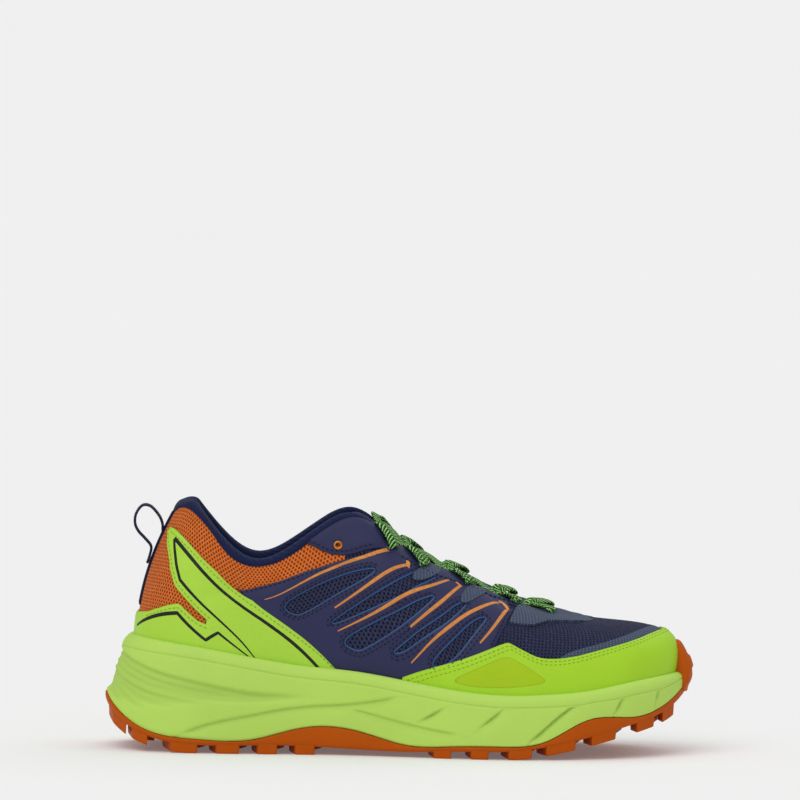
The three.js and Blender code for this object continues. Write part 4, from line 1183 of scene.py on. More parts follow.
def across_toe(low, high, middle_levels):
    """Outline over the toe's middle line from its two edges on the outer side."""
    low, high = (softened(on_chart(edge), closed=False, passes=1) for edge in (low, high))
    middle = CHART_ROUND / 2
    low_rise, high_rise = (CHART_RISE * q for q in middle_levels)
    return over_toe(np.vstack([[[middle, high_rise]], high[::-1], low[1:], [[middle, low_rise]]]))


def window_outlines():
    return [softened(on_chart(window)) for window in WINDOWS]


def stay_outline():
    corner = softened(on_chart(STAY_CORNER), closed=False)
    low, high = (CHART_RISE * rise for rise in STAY_LEVELS)
    end = chart_u(12.0)
    nose = [[end - 5, low], [end - 1.5, low + 3], [end, (low + high) / 2],
            [end - 1.5, high - 3], [end - 5, high]]
    return np.vstack([corner, [[corner[-1, 0] + 7, low + 1.5]], [[corner[-1, 0] + 14, low]], nose,
                      [[chart_u(6.4), high], [corner[0, 0], high]]])


def hole_outline(u, q, radius):
    """Circle of that radius on the surface, as an outline on the chart."""
    here = skin(u, q)
    round_scale = np.linalg.norm(skin(u + 0.002, q) - here) / (0.002 * CHART_ROUND)
    rise_scale = np.linalg.norm(skin(u, q + 0.02) - here) / (0.02 * CHART_RISE)
    turn = np.linspace(0, math.tau, 17)[:-1]
    circle = np.stack([np.cos(turn) * radius / round_scale, np.sin(turn) * radius / rise_scale], axis=1)
    return chart(u, q) + circle


def throat_u(s):
    return station(lerp(7, ROWS, s))


def throat(s, f, lift):
    """Place over the throat: s from its top corner to its bottom, f from -1 outer side to 1 inner side."""
    s, f, lift = np.broadcast_arrays(*(np.asarray(v, float) for v in (s, f, lift)))
    outer, inner = top_line(throat_u(s)), top_line(1 - throat_u(s))
    run = top_line(throat_u(np.maximum(s - 0.01, 0))) - top_line(throat_u(np.minimum(s + 0.01, 1)))
    chord = np.linalg.norm(inner - outer, axis=-1)
    up = unit(xyz(-run[..., 2], 0.0, run[..., 0]))
    up = up * np.where(up[..., 2:] < 0, -1.0, 1.0)
    rise = chord * 0.09 * (1 - f * f) + lift
    return lerp(outer, inner, ((f + 1) / 2)[..., None]) + up * rise[..., None]


def split_height(u):
    return HEEL_STACK * split_share(u)


def base_height(u):
    return HEEL_STACK * base_share(u)


def spread_place(u, spread, z):
    place = foot_edge(u) + outward(u) * np.asarray(spread, float)[..., None]
    place[..., 2] = z
    return place


def sidewall(u, t, inset=0.0):
    u, t = np.broadcast_arrays(np.asarray(u, float), np.asarray(t, float))
    spread = lerp(SOLE_SPREAD * flare(u), RIM_SPREAD * rim(u), np.maximum(t, 0) ** 1.15)
    spread = spread + BELLY * np.sin(np.pi * np.clip(t, 0, 1)) - inset
    return spread_place(u, spread, lerp(split_height(u) + FIT, rim_height(u), t))


def lip_share(u):
    height = rim_height(u) - split_height(u)
    return np.minimum(LIP_HEIGHT, 0.4 * height) / height


ARC_U = np.linspace(0, 1, 1401)
ARC_LENGTH = running_length(spread_place(ARC_U, 6.0, 0.0))


def wall_chart(u, t):
    """Sidewall places unrolled: length round the sole and height, in millimetres."""
    arc = np.interp(np.asarray(u) % 1.0, ARC_U, ARC_LENGTH)
    return np.stack(np.broadcast_arrays(arc, sidewall(u, t)[..., 2]), axis=-1)


def foam_relief(u, t):
    """How deep ripples and cuts go into the foam's side."""
    row = np.abs((u * 2 * ROWS + ROWS) % (2 * ROWS) - ROWS)
    height = rim_height(u) - split_height(u)
    deep = np.zeros(np.broadcast(u, t).shape)
    for start, last_row, end in RIPPLES:
        share = np.clip(row / last_row, 0, 1)
        line = end + (start - end) * (1 - share) ** 1.7
        fade = 1 - smoothstep(row, last_row - 1.3, last_row + 0.3)
        gap = (t - line * (1 - 1.1 * lip_share(u))) * height
        deep += RIPPLE_DEPTH * fade * np.exp(-((gap / RIPPLE_WIDTH) ** 2))
    flat = wall_chart(u, t).reshape(-1, 2)
    cuts = np.zeros(len(flat))
    for path, depth, width in FOAM_CUTS:
        line = softened(path, closed=False, passes=3)
        for side_u in (station(line[:, 0]), 1 - station(line[:, 0])):
            drawn = wall_chart(side_u, line[:, 1])
            ends = np.array([drawn[0], drawn[-1]])
            away = segment_distance(flat, drawn[:-1], drawn[1:], signed=True)
            tip = np.min(np.linalg.norm(flat[:, None] - ends, axis=2), axis=1)
            under = np.where(side_u[0] < 0.5, -away, away)
            crease = np.exp(-((np.minimum(under, 0) / width) ** 2) - (np.maximum(under, 0) / (2.6 * width)))
            cuts = np.maximum(cuts, depth * crease * (0.25 + 0.75 * smoothstep(tip, 0, 7)))
    return deep + cuts.reshape(deep.shape)


def underside(x):
    """Height of the tread's base, and its two edges, at places along the shoe."""
    u = np.linspace(0, 0.5, 1200)
    edge = spread_place(u, SOLE_SPREAD * flare(u) + 0.2, base_height(u))
    other = spread_place(1 - u, SOLE_SPREAD * flare(1 - u) + 0.2, base_height(u))
    order = np.argsort(edge[:, 0])
    place = edge[order, 0]
    return [np.interp(x, place, v[order]) for v in (edge[:, 2], edge[:, 1], other[:, 1])]


def lug_outlines():
    """Plan outlines of the lugs."""
    lugs = []
    for start, length, reach, centre in LUG_ROWS:
        run = UPPER_LENGTH * length
        a = UPPER_LENGTH * start
        b = a + run
        _, back_out, back_in = underside(a)
        _, front_out, front_in = underside(b)
        for near_a, far_a, near_b, far_b in ((back_out, back_in, front_out, front_in),
                                             (back_in, back_out, front_in, front_out)):
            lugs.append([(a, lerp(near_a, far_a, 0.005)), (b, lerp(near_b, far_b, 0.005)),
                         (b - 0.35 * run, lerp(near_b, far_b, reach / 2)),
                         (a - 0.35 * run, lerp(near_a, far_a, reach / 2))])
        if centre:
            y = (back_out + back_in) / 2
            half = (back_in - back_out) * 0.13
            heel = a + 0.35 * run
            toe = heel + 0.7 * run
            lugs.append([(heel, y - half), (toe, y - half), (toe + 3, y), (toe, y + half), (heel, y + half),
                         (heel + 3, y)])
    return lugs


def lug(outline):
    """Rings of one bevelled lug, from its root to its foot."""
    outline = stepped(softened(stepped(outline, 3.0), passes=2), 1.0)
    middle = outline.mean(0)
    rings = []
    for share, scale in ((-1.0, 1.02), (0.25, 1.0), (0.8, 0.975), (0.93, 0.965), (0.985, 0.94), (1.0, 0.9)):
        flat = lerp(middle, outline, scale)
        height = underside(flat[:, 0])[0]
        foot = np.maximum(0, height - LUG_DEPTH)
        root = height + 1.0
        rings.append(np.column_stack([flat, lerp(height, foot, share) if share > 0 else root]))
    return np.array(rings)


def rib_spread(u, z):
    """How far the rib stands out from the foot edge at a height."""
    low = np.zeros(len(u))
    high = np.full(len(u), 0.45)
    for _ in range(30):
        middle = (low + high) / 2
        under = rib(u, middle)[..., 2] < z
        low, high = np.where(under, middle, low), np.where(under, high, middle)
    return ((rib(u, low) - foot_edge(u)) * outward(u)).sum(-1)


def bumper_rings():
    """Sections of the toe bumper, with a stepped ledge on its outer face."""
    across = np.linspace(-1, 1, 81)
    u = 0.5 + station(BUMPER_REACH * across)
    foot = foot_edge(u)
    seam = split_height(u)
    top = lerp(seam + 1, foot[:, 2] + BUMPER_RISE, 1 - across**4)
    shares = np.linspace(-0.16, 1, 26)
    outer, inner = [], []
    for k in shares:
        z = lerp(seam, top, k)
        over_rim = smoothstep(z - rim_height(u), 0, np.maximum(foot[:, 2] + BUMPER_RISE - rim_height(u), 1))
        over_sole = np.maximum(SOLE_SPREAD * flare(u), RIM_SPREAD * rim(u)) + BELLY + FIT
        over_rand = rib_spread(u, z) + 4 * FIT + OVERLAY
        clear = lerp(over_sole, over_rand, over_rim)
        rounded = (0.2 + 0.8 * smoothstep(k, -0.16, 0.2)) * (1 if k < 0.97 else 0.55)
        thick = lerp(3.3, 1.9, max(k, 0)) * rounded * (1 - 0.75 * across**4)
        ledge = 0.9 * (smoothstep(k, 0.36, 0.39) - smoothstep(k, 0.62, 0.66)) * (1 - across**2)
        outer.append(spread_place(u, clear + thick + ledge - 0.35, z))
        inner.append(spread_place(u, clear - 4.5, z))
    return np.array([np.vstack([np.array(outer)[:, i], np.array(inner)[::-1, i]]) for i in range(len(u))])


def tint(label, value):
    """A colour of the finish as a property."""
    return bpy.props.FloatVectorProperty(
        name=label, description=f"{label}, as a linear colour", subtype="COLOR", size=4,
        min=0.0, max=1.0, default=value)


class ShoeSettings(bpy.types.PropertyGroup):
    """Colours and fine sizes of the shoe's finish."""

    lime: tint("Lime panel", (0.430, 0.720, 0.060, 1))
    rand: tint("Lime rand", (0.405, 0.700, 0.028, 1))
    foam: tint("Foam", (0.485, 0.730, 0.120, 1))
    rubber: tint("Rubber", (0.500, 0.088, 0.001, 1))
    navy_film: tint("Navy film", (0.026, 0.029, 0.088, 1))
    navy_knit: tint("Navy knit", (0.026, 0.030, 0.074, 1))
    orange_knit: tint("Orange knit", (0.720, 0.150, 0.018, 1))
    collar: tint("Collar cloth", (0.008, 0.012, 0.045, 1))
    lining: tint("Lining", (0.014, 0.016, 0.045, 1))
    pale_film: tint("Pale film", (0.062, 0.084, 0.140, 1))
    v_line: tint("Printed line", (0.780, 0.290, 0.060, 1))
    window_line: tint("Window edge", (0.032, 0.115, 0.300, 1))
    print_dark: tint("Dark print", (0.014, 0.020, 0.014, 1))
    lace_dark: tint("Lace dark", (0.010, 0.030, 0.008, 1))
    lace_bright: tint("Lace bright", (0.360, 0.820, 0.210, 1))
    ring: tint("Eyelet ring", (0.520, 0.190, 0.040, 1))
    stitch_pitch: bpy.props.FloatProperty(
        name="Stitch pitch", description="Distance from one stitch to the next", default=0.0024,
        unit="LENGTH", subtype="DISTANCE")
    stitch_length: bpy.props.FloatProperty(
        name="Stitch length", description="Length of the thread that shows in a stitch", default=0.0017,
        unit="LENGTH", subtype="DISTANCE")
    thread: bpy.props.FloatProperty(
        name="Thread", description="Thickness of the sewing thread", default=0.0006,
        unit="LENGTH", subtype="DISTANCE")
    lace_width: bpy.props.FloatProperty(
        name="Lace width", description="Width of the flat lace", default=0.0072,
        unit="LENGTH", subtype="DISTANCE")
    lace_thickness: bpy.props.FloatProperty(
        name="Lace thickness", description="Thickness of the flat lace", default=0.0023,
        unit="LENGTH", subtype="DISTANCE")


def settings():
    return bpy.context.scene.trail_shoe


class PieceOperator(bpy.types.Operator):
    """Base of the operators that build the pieces."""

    bl_options = {"REGISTER", "UNDO"}

    def execute(self, context):
        self.build(settings())
        return {"FINISHED"}


class SHOE_OT_upper(PieceOperator):
    """Builds the hollow knit upper with its lining"""

    bl_idname = "trail_shoe.upper"
    bl_label = "Upper"

    def build(self, given):
        outer = np.concatenate([[-1, -0.5, -0.12], np.linspace(-0.05, 0.97, 54)])
        rings = [skin(ROUND_U, q) for q in outer]
        wall = wall_at(ROUND_U, 1)
        up_rib = unit(rib(ROUND_U, 1) - rib(ROUND_U, 0.98))
        for turn in np.linspace(0.08, 0.92, 9) * math.pi:
            rise = (wall * 0.15 * math.sin(turn))[:, None]
            rings.append(skin(ROUND_U, 1, -wall * (1 - math.cos(turn)) / 2) + up_rib * rise)
        inner = np.concatenate([np.linspace(0.97, 0, 26), [-0.4, -1]])
        rings += [skin(ROUND_U, q, -wall_at(ROUND_U, q)) for q in inner]
        faces = len(rings) * AROUND
        lining_from = len(outer) + 4
        slots = (np.arange(faces) // AROUND >= lining_from).astype(int)
        lining = cloth_material("upper_lining", given.lining)
        piece = shell("upper_knit", rings, [knit_material(given), lining], face_material=slots)
        levels = np.concatenate([outer, np.full(9, 1.0), inner])
        places = np.stack(np.meshgrid(levels, ROUND_U, indexing="ij")[::-1], axis=-1).reshape(-1, 2)
        places = places * [CHART_ROUND, CHART_RISE]
        add_uv(piece, places)
        top = softened(on_chart(SADDLE_TOP[:5]), closed=False)
        stop = near_rim(STRAP_FRONT[-1])
        front = top[-1, 0] + 2
        region = np.vstack([[[-9, -90], [stop - 8, -90]], top, [[front, 55], [front, 90], [-9, 90]]])
        side = places.copy()
        side[:, 0] = np.minimum(side[:, 0], CHART_ROUND - side[:, 0])
        away = loop_distance(side, [region]) * np.where(inside(side, [region]), 1, -1)
        add_attribute(piece, "orange", away)
        seat(piece, "mesh_fabric", "upper")


class SHOE_OT_collar(PieceOperator):
    """Builds the padded band round the collar"""

    bl_idname = "trail_shoe.collar"
    bl_label = "Collar band"

    def build(self, given):
        span = np.linspace(-COLLAR_END, COLLAR_END, 301)
        u = station(span)
        row = np.abs(span)
        low = on_chart(BAND_LOW)
        depth = 1 - np.interp(row * CHART_ROUND / (2 * ROWS), low[:, 0], low[:, 1] / CHART_RISE)
        depth = np.pad(np.clip(depth, 0.02, 0.2), 4, mode="edge")
        depth = np.convolve(depth, np.ones(9) / 9, mode="valid")
        ends = np.sqrt(np.clip(1 - (row / COLLAR_END) ** 14, 0, 1))
        wall = wall_at(u, 1)
        flat_out = unit(rib_normal(u, level(u, 1.0)) * [1, 1, 0])
        section = []
        for k in np.linspace(0, 1, 9):
            bulge = 1.25 * math.sin(math.pi * min(k * 0.62 + 0.02, 1)) * ends
            section.append(skin(u, 1 - depth * (1 - k) * ends, bulge - 0.15))
        for turn in np.linspace(0.1, 0.9, 11) * math.pi:
            swell = 0.8 * ends
            half = wall / 2 + swell
            place = top_line(u) + flat_out * (half * math.cos(turn) - wall / 2)[:, None]
            place[:, 2] += (wall * 0.3 + 0.3 * ends) * math.sin(turn)
            section.append(place)
        for k in np.linspace(0, 1, 12):
            q = 1 - 0.42 * k * ends
            bulge = (1.1 - 0.9 * k) * ends
            section.append(skin(u, q, -wall_at(u, q) - bulge))
        section.append(skin(u, 1 - 0.42 * ends, -wall_at(u, 0.6) / 2))
        section.append(skin(u, 1 - depth * ends, -0.8))
        rings = np.array(section).transpose(1, 0, 2)
        cloth = cloth_material("collar_cloth", given.collar, pitch=1.1, lighter=1.5)
        piece = shell("collar_band", rings, [cloth], ends="caps", sharp=60)
        count = rings.shape[1]
        run = running_length(rings[150])
        add_uv(piece, np.column_stack([np.repeat(u * CHART_ROUND, count), np.tile(run, len(u))]))
        seat(piece, "tongue_fabric")


class SHOE_OT_midsole(PieceOperator):
    """Builds the foam midsole with its lip, ripples and cuts"""

    bl_idname = "trail_shoe.midsole"
    bl_label = "Midsole"

    def build(self, given):
        count = 1080
        u = np.arange(count) / count
        lip = lip_share(u)
        inner = SOLE_SPREAD * flare(u) - OUTSOLE_WRAP - FIT
        rings = [spread_place(u, inner, base_height(u) + OUTSOLE_SKIN + FIT),
                 spread_place(u, inner, split_height(u) + FIT)]
        # The hollow values are painted shade: how deep the ripples, cuts and the groove under the lip sink in.
        hollow = [np.zeros(count), np.zeros(count)]
        for k in np.linspace(0, 1, 60):
            t = (1 - 1.16 * lip) * k
            deep = foam_relief(u, t)
            edge = 0.5 * (1 - smoothstep(k, 0, 0.035))
            rings.append(sidewall(u, t, deep + edge))
            hollow.append(deep)
        for place, inset in LIP_PROFILE:
            deep = inset * LIP_STEP
            rings.append(sidewall(u, 1 - place * lip, deep))
            # Painted shade in the groove just under the lip's edge.
            hollow.append(np.full(count, 1.5 * max(0, deep) if 0.9 < place < 1.2 else 0.0))
        for q, offset in ((0.0, 1.3), (-0.03, 0.5), (-0.12, FIT), (-0.5, FIT)):
            rings.append(skin(u, q, offset))
            hollow.append(np.zeros(count))
        last = skin(u, -1, FIT)
        last[:, 2] = foot_edge(u)[:, 2] - FIT
        rings.append(last)
        hollow.append(np.zeros(count))
        piece = shell("midsole_foam", rings, [foam_material(given)], ends="rungs", sharp=70)
        add_attribute(piece, "hollow", np.concatenate(hollow))
        seat(piece, "foam", "midsole")


class SHOE_OT_outsole(PieceOperator):
    """Builds the rubber tray, its lugs and the toe bumper"""

    bl_idname = "trail_shoe.outsole"
    bl_label = "Outsole"

    def build(self, given):
        count = 700
        u = np.arange(count) / count
        reach = SOLE_SPREAD * flare(u)
        low, high = base_height(u), split_height(u)
        rubber = rubber_material(given)
        rings = [spread_place(u, reach + out, low + up) for out, up in
                 ((-2.2, 0.0), (-1.3, 0.12), (-0.5, 0.5), (0.05, 1.0), (0.35, 1.6))]
        rings += [spread_place(u, reach + 0.42, lerp(low + 1.6, high - 0.5, k)) for k in (0.3, 0.6, 0.85, 1)]
        wrap = reach - OUTSOLE_WRAP
        rings += [spread_place(u, reach + 0.22, high - 0.12), spread_place(u, reach - 0.1, high),
                  spread_place(u, wrap, high), spread_place(u, wrap, low + OUTSOLE_SKIN)]
        pieces = [shell("outsole_rubber", rings, [rubber], ends="rungs", sharp=60)]
        for i, outline in enumerate(lug_outlines()):
            pieces.append(shell(f"lug_{i}", lug(outline), [rubber], ends="caps", sharp=50))
        pieces.append(shell("bumper", bumper_rings(), [rubber], ends="caps", sharp=50))
        piece = merged("outsole_rubber", pieces)
        seat(piece, "outsole_rubber", "outsole")


class SHOE_OT_insole(PieceOperator):
    """Builds the sockliner"""

    bl_idname = "trail_shoe.insole"
    bl_label = "Insole"

    def build(self, given):
        count = 320
        u = np.arange(count) / count

        def edge(lift, inset):
            place = skin(u, -1) + outward(u) * (-WALL - 2 * FIT - inset)
            place[:, 2] = foot_edge(u)[:, 2] + lift
            return place

        top = edge(INSOLE_THICKNESS - 0.2, 1.2)
        middle = (top[0] + top[count // 2]) / 2
        centre_line = (top + top[(count - np.arange(count)) % count]) / 2
        rings = [edge(FIT, 0), edge(2.4, -0.1), edge(4.2, 0.1), edge(4.8, 0.5), top]
        for k in (0.12, 0.3, 0.55, 0.8):
            ring = lerp(top, centre_line, k)
            ring[:, 2] -= 0.5 * math.sin(math.pi * min(k, 0.5))
            rings.append(ring)
        cloth = cloth_material("sockliner_cloth", given.lining, pitch=1.4, lighter=1.6)
        piece = shell("sockliner", rings, [cloth], ends="rungs", sharp=60)
        flat = np.array(rings).reshape(-1, 3)[:, :2]
        add_uv(piece, flat - middle[:2])
        seat(piece, "sockliner", "insole")


class SHOE_OT_tongue(PieceOperator):
    """Builds the padded tongue"""

    bl_idname = "trail_shoe.tongue"
    bl_label = "Tongue"

    def build(self, given):
        steps = np.concatenate([np.linspace(0, 0.2, 14), np.linspace(0.22, 13 / 15, 40)])
        sink = WALL + TONGUE_GAP
        sections = []
        for s in steps:
            u = throat_u(s)
            under = {}
            for side, turned in ((-1, u), (1, 1 - u)):
                for q in (0.84, 0.92):
                    under[side, q] = skin(turned, q, -wall_at(turned, q) - TONGUE_GAP)
            outer = [under[-1, 0.84], under[-1, 0.92]]
            outer += [throat(s, f, -sink) for f in (-0.92, -0.5, 0, 0.5, 0.92)]
            outer += [under[1, 0.92], under[1, 0.84]]
            outer = smooth_rows(np.array(outer), 61)
            core = throat(s, 0, -TONGUE_CORE)
            f = np.linspace(-1, 1, 61)
            thick = TONGUE_THICKNESS + TONGUE_PAD * (1 - s) ** 2 * (1 - f * f)
            pads = 0.35 * np.cos(f * 9.4) * (1 - f * f) * (1 - s)
            swollen = outer + unit(outer - core) * pads[:, None]
            inner = outer + unit(core - outer) * thick[:, None]
            sections.append(np.stack([swollen, inner]))
        sections = np.array(sections)
        lean = unit(sections[0, 0, 30] - sections[3, 0, 30])
        middle = sections[0].reshape(-1, 3).mean(0)
        crown = []
        for turn in np.linspace(0.12, 1, 9) * math.pi / 2:
            drawn = lerp(sections[0], middle, 0.3 * math.sin(turn) ** 1.5)
            core = drawn.mean(0)
            thin = core + (drawn - core) * (0.12 + 0.88 * math.cos(turn) ** 0.6)
            crown.append(thin + lean * TONGUE_OVERHANG * math.sin(turn))
        sections = np.concatenate([np.array(crown)[::-1], sections])
        edge = np.linspace(0, math.pi, 7)[1:-1]
        rings = []
        for outer, inner in sections:
            ring = [outer]
            for at in (-1, 0):
                half = (outer[at] - inner[at]) / 2
                out = unit(outer[at] - outer[-3 if at else 2]) * np.linalg.norm(half)
                turned = [(outer[at] + inner[at]) / 2 + half * math.cos(a) + out * math.sin(a) for a in edge]
                ring.append(np.array(turned if at else turned[::-1]))
                if at:
                    ring.append(inner[::-1])
            rings.append(np.vstack(ring))
        rings = np.array(rings)
        cloth = cloth_material("tongue_cloth", given.collar, pitch=1.3, lighter=1.8)
        piece = shell("padded_tongue", rings, [cloth], ends="caps", sharp=70)
        count = rings.shape[1]
        across = running_length(rings[20])
        down = running_length(rings[:, 30])
        add_uv(piece, np.column_stack([np.tile(across, len(rings)), np.repeat(down, count)]))
        seat(piece, "tongue_fabric", "tongue")


class SHOE_OT_heel_panel(PieceOperator):
    """Builds the lime heel panel and its dark prints"""

    bl_idname = "trail_shoe.heel_panel"
    bl_label = "Heel panel"

    def build(self, given):
        film = film_material("lime_heel_film", given.lime, grain=0.0002)
        piece = panel("heel_panel", heel_outline(), lift=LIME_LIFT, thickness=LIME_THICKNESS,
                      edge=1.1, material=film)
        seat(piece, "lime_film", "heel_overlay")
        dark = film_material("dark_heel_print", given.print_dark, roughness=0.45)
        prints = []
        for i, (path, widths) in enumerate(HEEL_PRINTS):
            outline = ribbon(on_chart(path), widths)
            turned = outline[::-1] * [-1, 1]
            for side, flat in (("outer", outline), ("inner", turned)):
                prints.append(panel(f"heel_print_{i}_{side}", flat, lift=1.62, thickness=0.14, edge=0.4,
                                    grid=PRINT_GRID, sink=PRINT_SINK, material=dark))
        piece = merged("heel_prints", prints)
        seat(piece, "lime_film")


class SHOE_OT_toe_rand(PieceOperator):
    """Builds the lime rand round the toe and its dark print"""

    bl_idname = "trail_shoe.toe_rand"
    bl_label = "Toe rand"

    def build(self, given):
        film = film_material("lime_rand_film", given.rand, roughness=0.45)
        piece = panel("rand_panel", rand_outline(), lift=LIME_LIFT, thickness=LIME_THICKNESS,
                      edge=1.1, material=film)
        seat(piece, "lime_film", "toe_rand")
        dark = film_material("rand_print", (0.40, 0.60, 0.012, 1), roughness=0.4)
        prints = []
        for i, flat in enumerate(both_sides(softened(on_chart(RAND_PRINT)))):
            prints.append(panel(f"rand_print_{i}", flat, lift=1.61, thickness=0.08, edge=0.5,
                                sink=PRINT_SINK, material=dark))
        piece = merged("rand_prints", prints)
        seat(piece, "lime_film")


class SHOE_OT_saddles(PieceOperator):
    """Builds the navy saddles with their windows, printed lines and pale films"""

    bl_idname = "trail_shoe.saddles"
    bl_label = "Saddles"

    def build(self, given):
        film = film_material("navy_saddle_film", given.navy_film, rim_colour=given.window_line[:3])
        line = film_material("printed_line", given.v_line, roughness=0.5)
        pale = dotted_film_material(given.pale_film)
        outline = saddle_outline()
        windows = window_outlines()
        lines, films = [], []
        for side in SIDES:
            cuts = [on_side(window, side) for window in windows]
            piece = panel(f"saddle_{side}", on_side(outline, side), cuts, lift=SADDLE_LIFT,
                          thickness=SADDLE_THICKNESS, material=film)
            seat(piece, "navy_film", f"quarter_overlay_{side}")
            for i, (path, widths) in enumerate(V_LINES):
                flat = on_side(ribbon(on_chart(path), widths), side)
                lines.append(panel(f"v_line_{side}_{i}", flat, lift=1.0, thickness=0.16, edge=0.4,
                                   grid=PRINT_GRID, sink=0.85, material=line))
            for i, path in enumerate(FILMS):
                flat = on_side(softened(on_chart(path)), side)
                films.append(panel(f"film_{side}_{i}", flat, lift=FILM_OVER_STAY,
                                   thickness=FILM_THICKNESS, edge=0.6, material=pale))
        for i, (low, high, levels, over_stays) in enumerate(TOE_FILMS):
            films.append(panel(f"film_toe_{i}", across_toe(low, high, levels),
                               lift=film_lift if over_stays else FILM_ON_KNIT,
                               thickness=FILM_THICKNESS, edge=0.6, material=pale))
        seat(merged("printed_lines", lines), "navy_film")
        seat(merged("pale_films", films), "navy_film")


class SHOE_OT_eyestays(PieceOperator):
    """Builds the eyestays, their spare eyelets and the rings"""

    bl_idname = "trail_shoe.eyestays"
    bl_label = "Eyestays"

    def build(self, given):
        film = film_material("eyestay_film", given.navy_film, roughness=0.55)
        metal = metal_material(given.ring)
        outline = stay_outline()
        holes = [hole_outline(throat_u(s), EYELET_LEVEL, 1.9) for s in LACE_HOLES]
        spare = on_chart([SPARE_EYELET])[0]
        spare_u, spare_q = spare[0] / CHART_ROUND, spare[1] / CHART_RISE
        holes.append(hole_outline(spare_u, spare_q, 1.5))
        for side in SIDES:
            cuts = [on_side(hole, side) for hole in holes]
            piece = panel(f"eyestay_{side}", on_side(outline, side), cuts, lift=STAY_LIFT,
                          thickness=STAY_THICKNESS, material=film)
            seat(piece, "navy_film", f"eyestay_{side}")
            u = spare_u if side == "lateral" else 1 - spare_u
            centre = skin(u, spare_q, RING_LIFT)
            out = rib_normal(u, level(u, spare_q))
            east = unit(np.cross(out, [0, 0, 1.0]))
            north = np.cross(out, east)
            turns = np.linspace(0, math.tau, 41)[:-1]
            rings = []
            for a in turns:
                ray = east * math.cos(a) + north * math.sin(a)
                rings.append([centre + ray * (RING_RADIUS + RING_WIDTH * math.cos(b))
                              + out * RING_HEIGHT * math.sin(b)
                              for b in np.linspace(0, math.tau, 13)[:-1]])
            ring = shell(f"eyelet_ring_{side}", rings, [metal], ends="ring")
            seat(ring, "ring_metal", f"eyelet_ring_{side}")


def lace_strand(s0, s1, side, order):
    """Path of one crossing from the hole at s0 on a side to the hole at s1 on the other."""

    def at_hole(s, at, shift):
        u = throat_u(s + shift)
        u = u if at < 0 else 1 - u
        spots, turns = [], []
        for q, lift, lean in ((0.890, -2.6, 0.0), (0.874, -0.6, 0.1), (0.848, 1.3, 0.35), (0.838, 2.8, 0.8),
                              (0.872, 3.6, 1.0), (0.930, 3.3, 1.0), (0.985, 2.6, 1.0)):
            normal = rib_normal(u, level(u, q))
            up_rib = unit(skin(u, min(q + 0.01, 1)) - skin(u, q - 0.01))
            spots.append(skin(u, q, lift))
            turns.append(unit(normal * lean - up_rib * (1 - lean)))
        return spots, turns

    start, start_faces = at_hole(s0, side, 0.010 * order)
    end, end_faces = at_hole(s1, -side, -0.010 * order)
    middle, middle_faces = [], []
    for k in (-0.72, -0.4, 0.0, 0.4, 0.72):
        s = lerp(s0, s1, (k + 1) / 2)
        rest = -1.7 + 0.8 * order * (1 - k * k)
        middle.append(throat(s, side * -k, rest))
        middle_faces.append(unit(throat(s, side * -k, rest + 1) - middle[-1]))
    spots = np.array(start + middle + end[::-1])
    turns = np.array(start_faces + middle_faces + end_faces[::-1])
    return smooth_rows(spots, 120), unit(smooth_rows(turns, 120))


class SHOE_OT_laces(PieceOperator):
    """Builds the braided laces through the eyelets"""

    bl_idname = "trail_shoe.laces"
    bl_label = "Laces"

    def build(self, given):
        strands = [lace_strand(LACE_HOLES[0], LACE_HOLES[0], -1, 0.0)]
        for low, high in zip(LACE_HOLES[:-1], LACE_HOLES[1:]):
            strands.append(lace_strand(low, high, -1, 1.0))
            strands.append(lace_strand(low, high, 1, -1.0))
        values = {"Width": given.lace_width, "Thickness": given.lace_thickness, "Step": 0.0007,
                  "Material": lace_material(given)}
        piece = along_paths("braided_laces", band_tree(), strands, values)
        seat(piece, "lace_cord", "laces")


class SHOE_OT_heel_loop(PieceOperator):
    """Builds the tape down the back seam and the pull loop"""

    bl_idname = "trail_shoe.heel_loop"
    bl_label = "Heel tape and loop"

    def build(self, given):
        side = chart_u(0.36)
        low, high = 0.22 * CHART_RISE, 0.95 * CHART_RISE
        corners = [(-side, low), (side, low), (side, high), (-side, high)]
        tape = film_material("heel_tape_cloth", given.collar, roughness=0.85, coat=0.0)
        piece = panel("seam_tape", corners, lift=0.35, thickness=0.7, edge=0.7, material=tape)
        seat(piece, "webbing", "heel_tape")
        start = skin(0.0, 0.62, OVERLAY + 2 * FIT + 0.65)
        line = smooth_rows(np.array(LOOP_LINE, float), 90)
        run = np.gradient(line, axis=0)
        run /= np.linalg.norm(run, axis=1, keepdims=True)
        path = np.column_stack([start[0] - line[:, 0], np.full(90, start[1]), start[2] + line[:, 1]])
        face = np.column_stack([-run[:, 1], np.zeros(90), -run[:, 0]])
        values = {"Width": 0.011, "Thickness": 0.0014, "Step": 0.0005,
                  "Material": webbing_material("loop_webbing", given.collar)}
        piece = along_paths("pull_loop", band_tree(), [(path, face)], values)
        seat(piece, "webbing", "heel_loop")


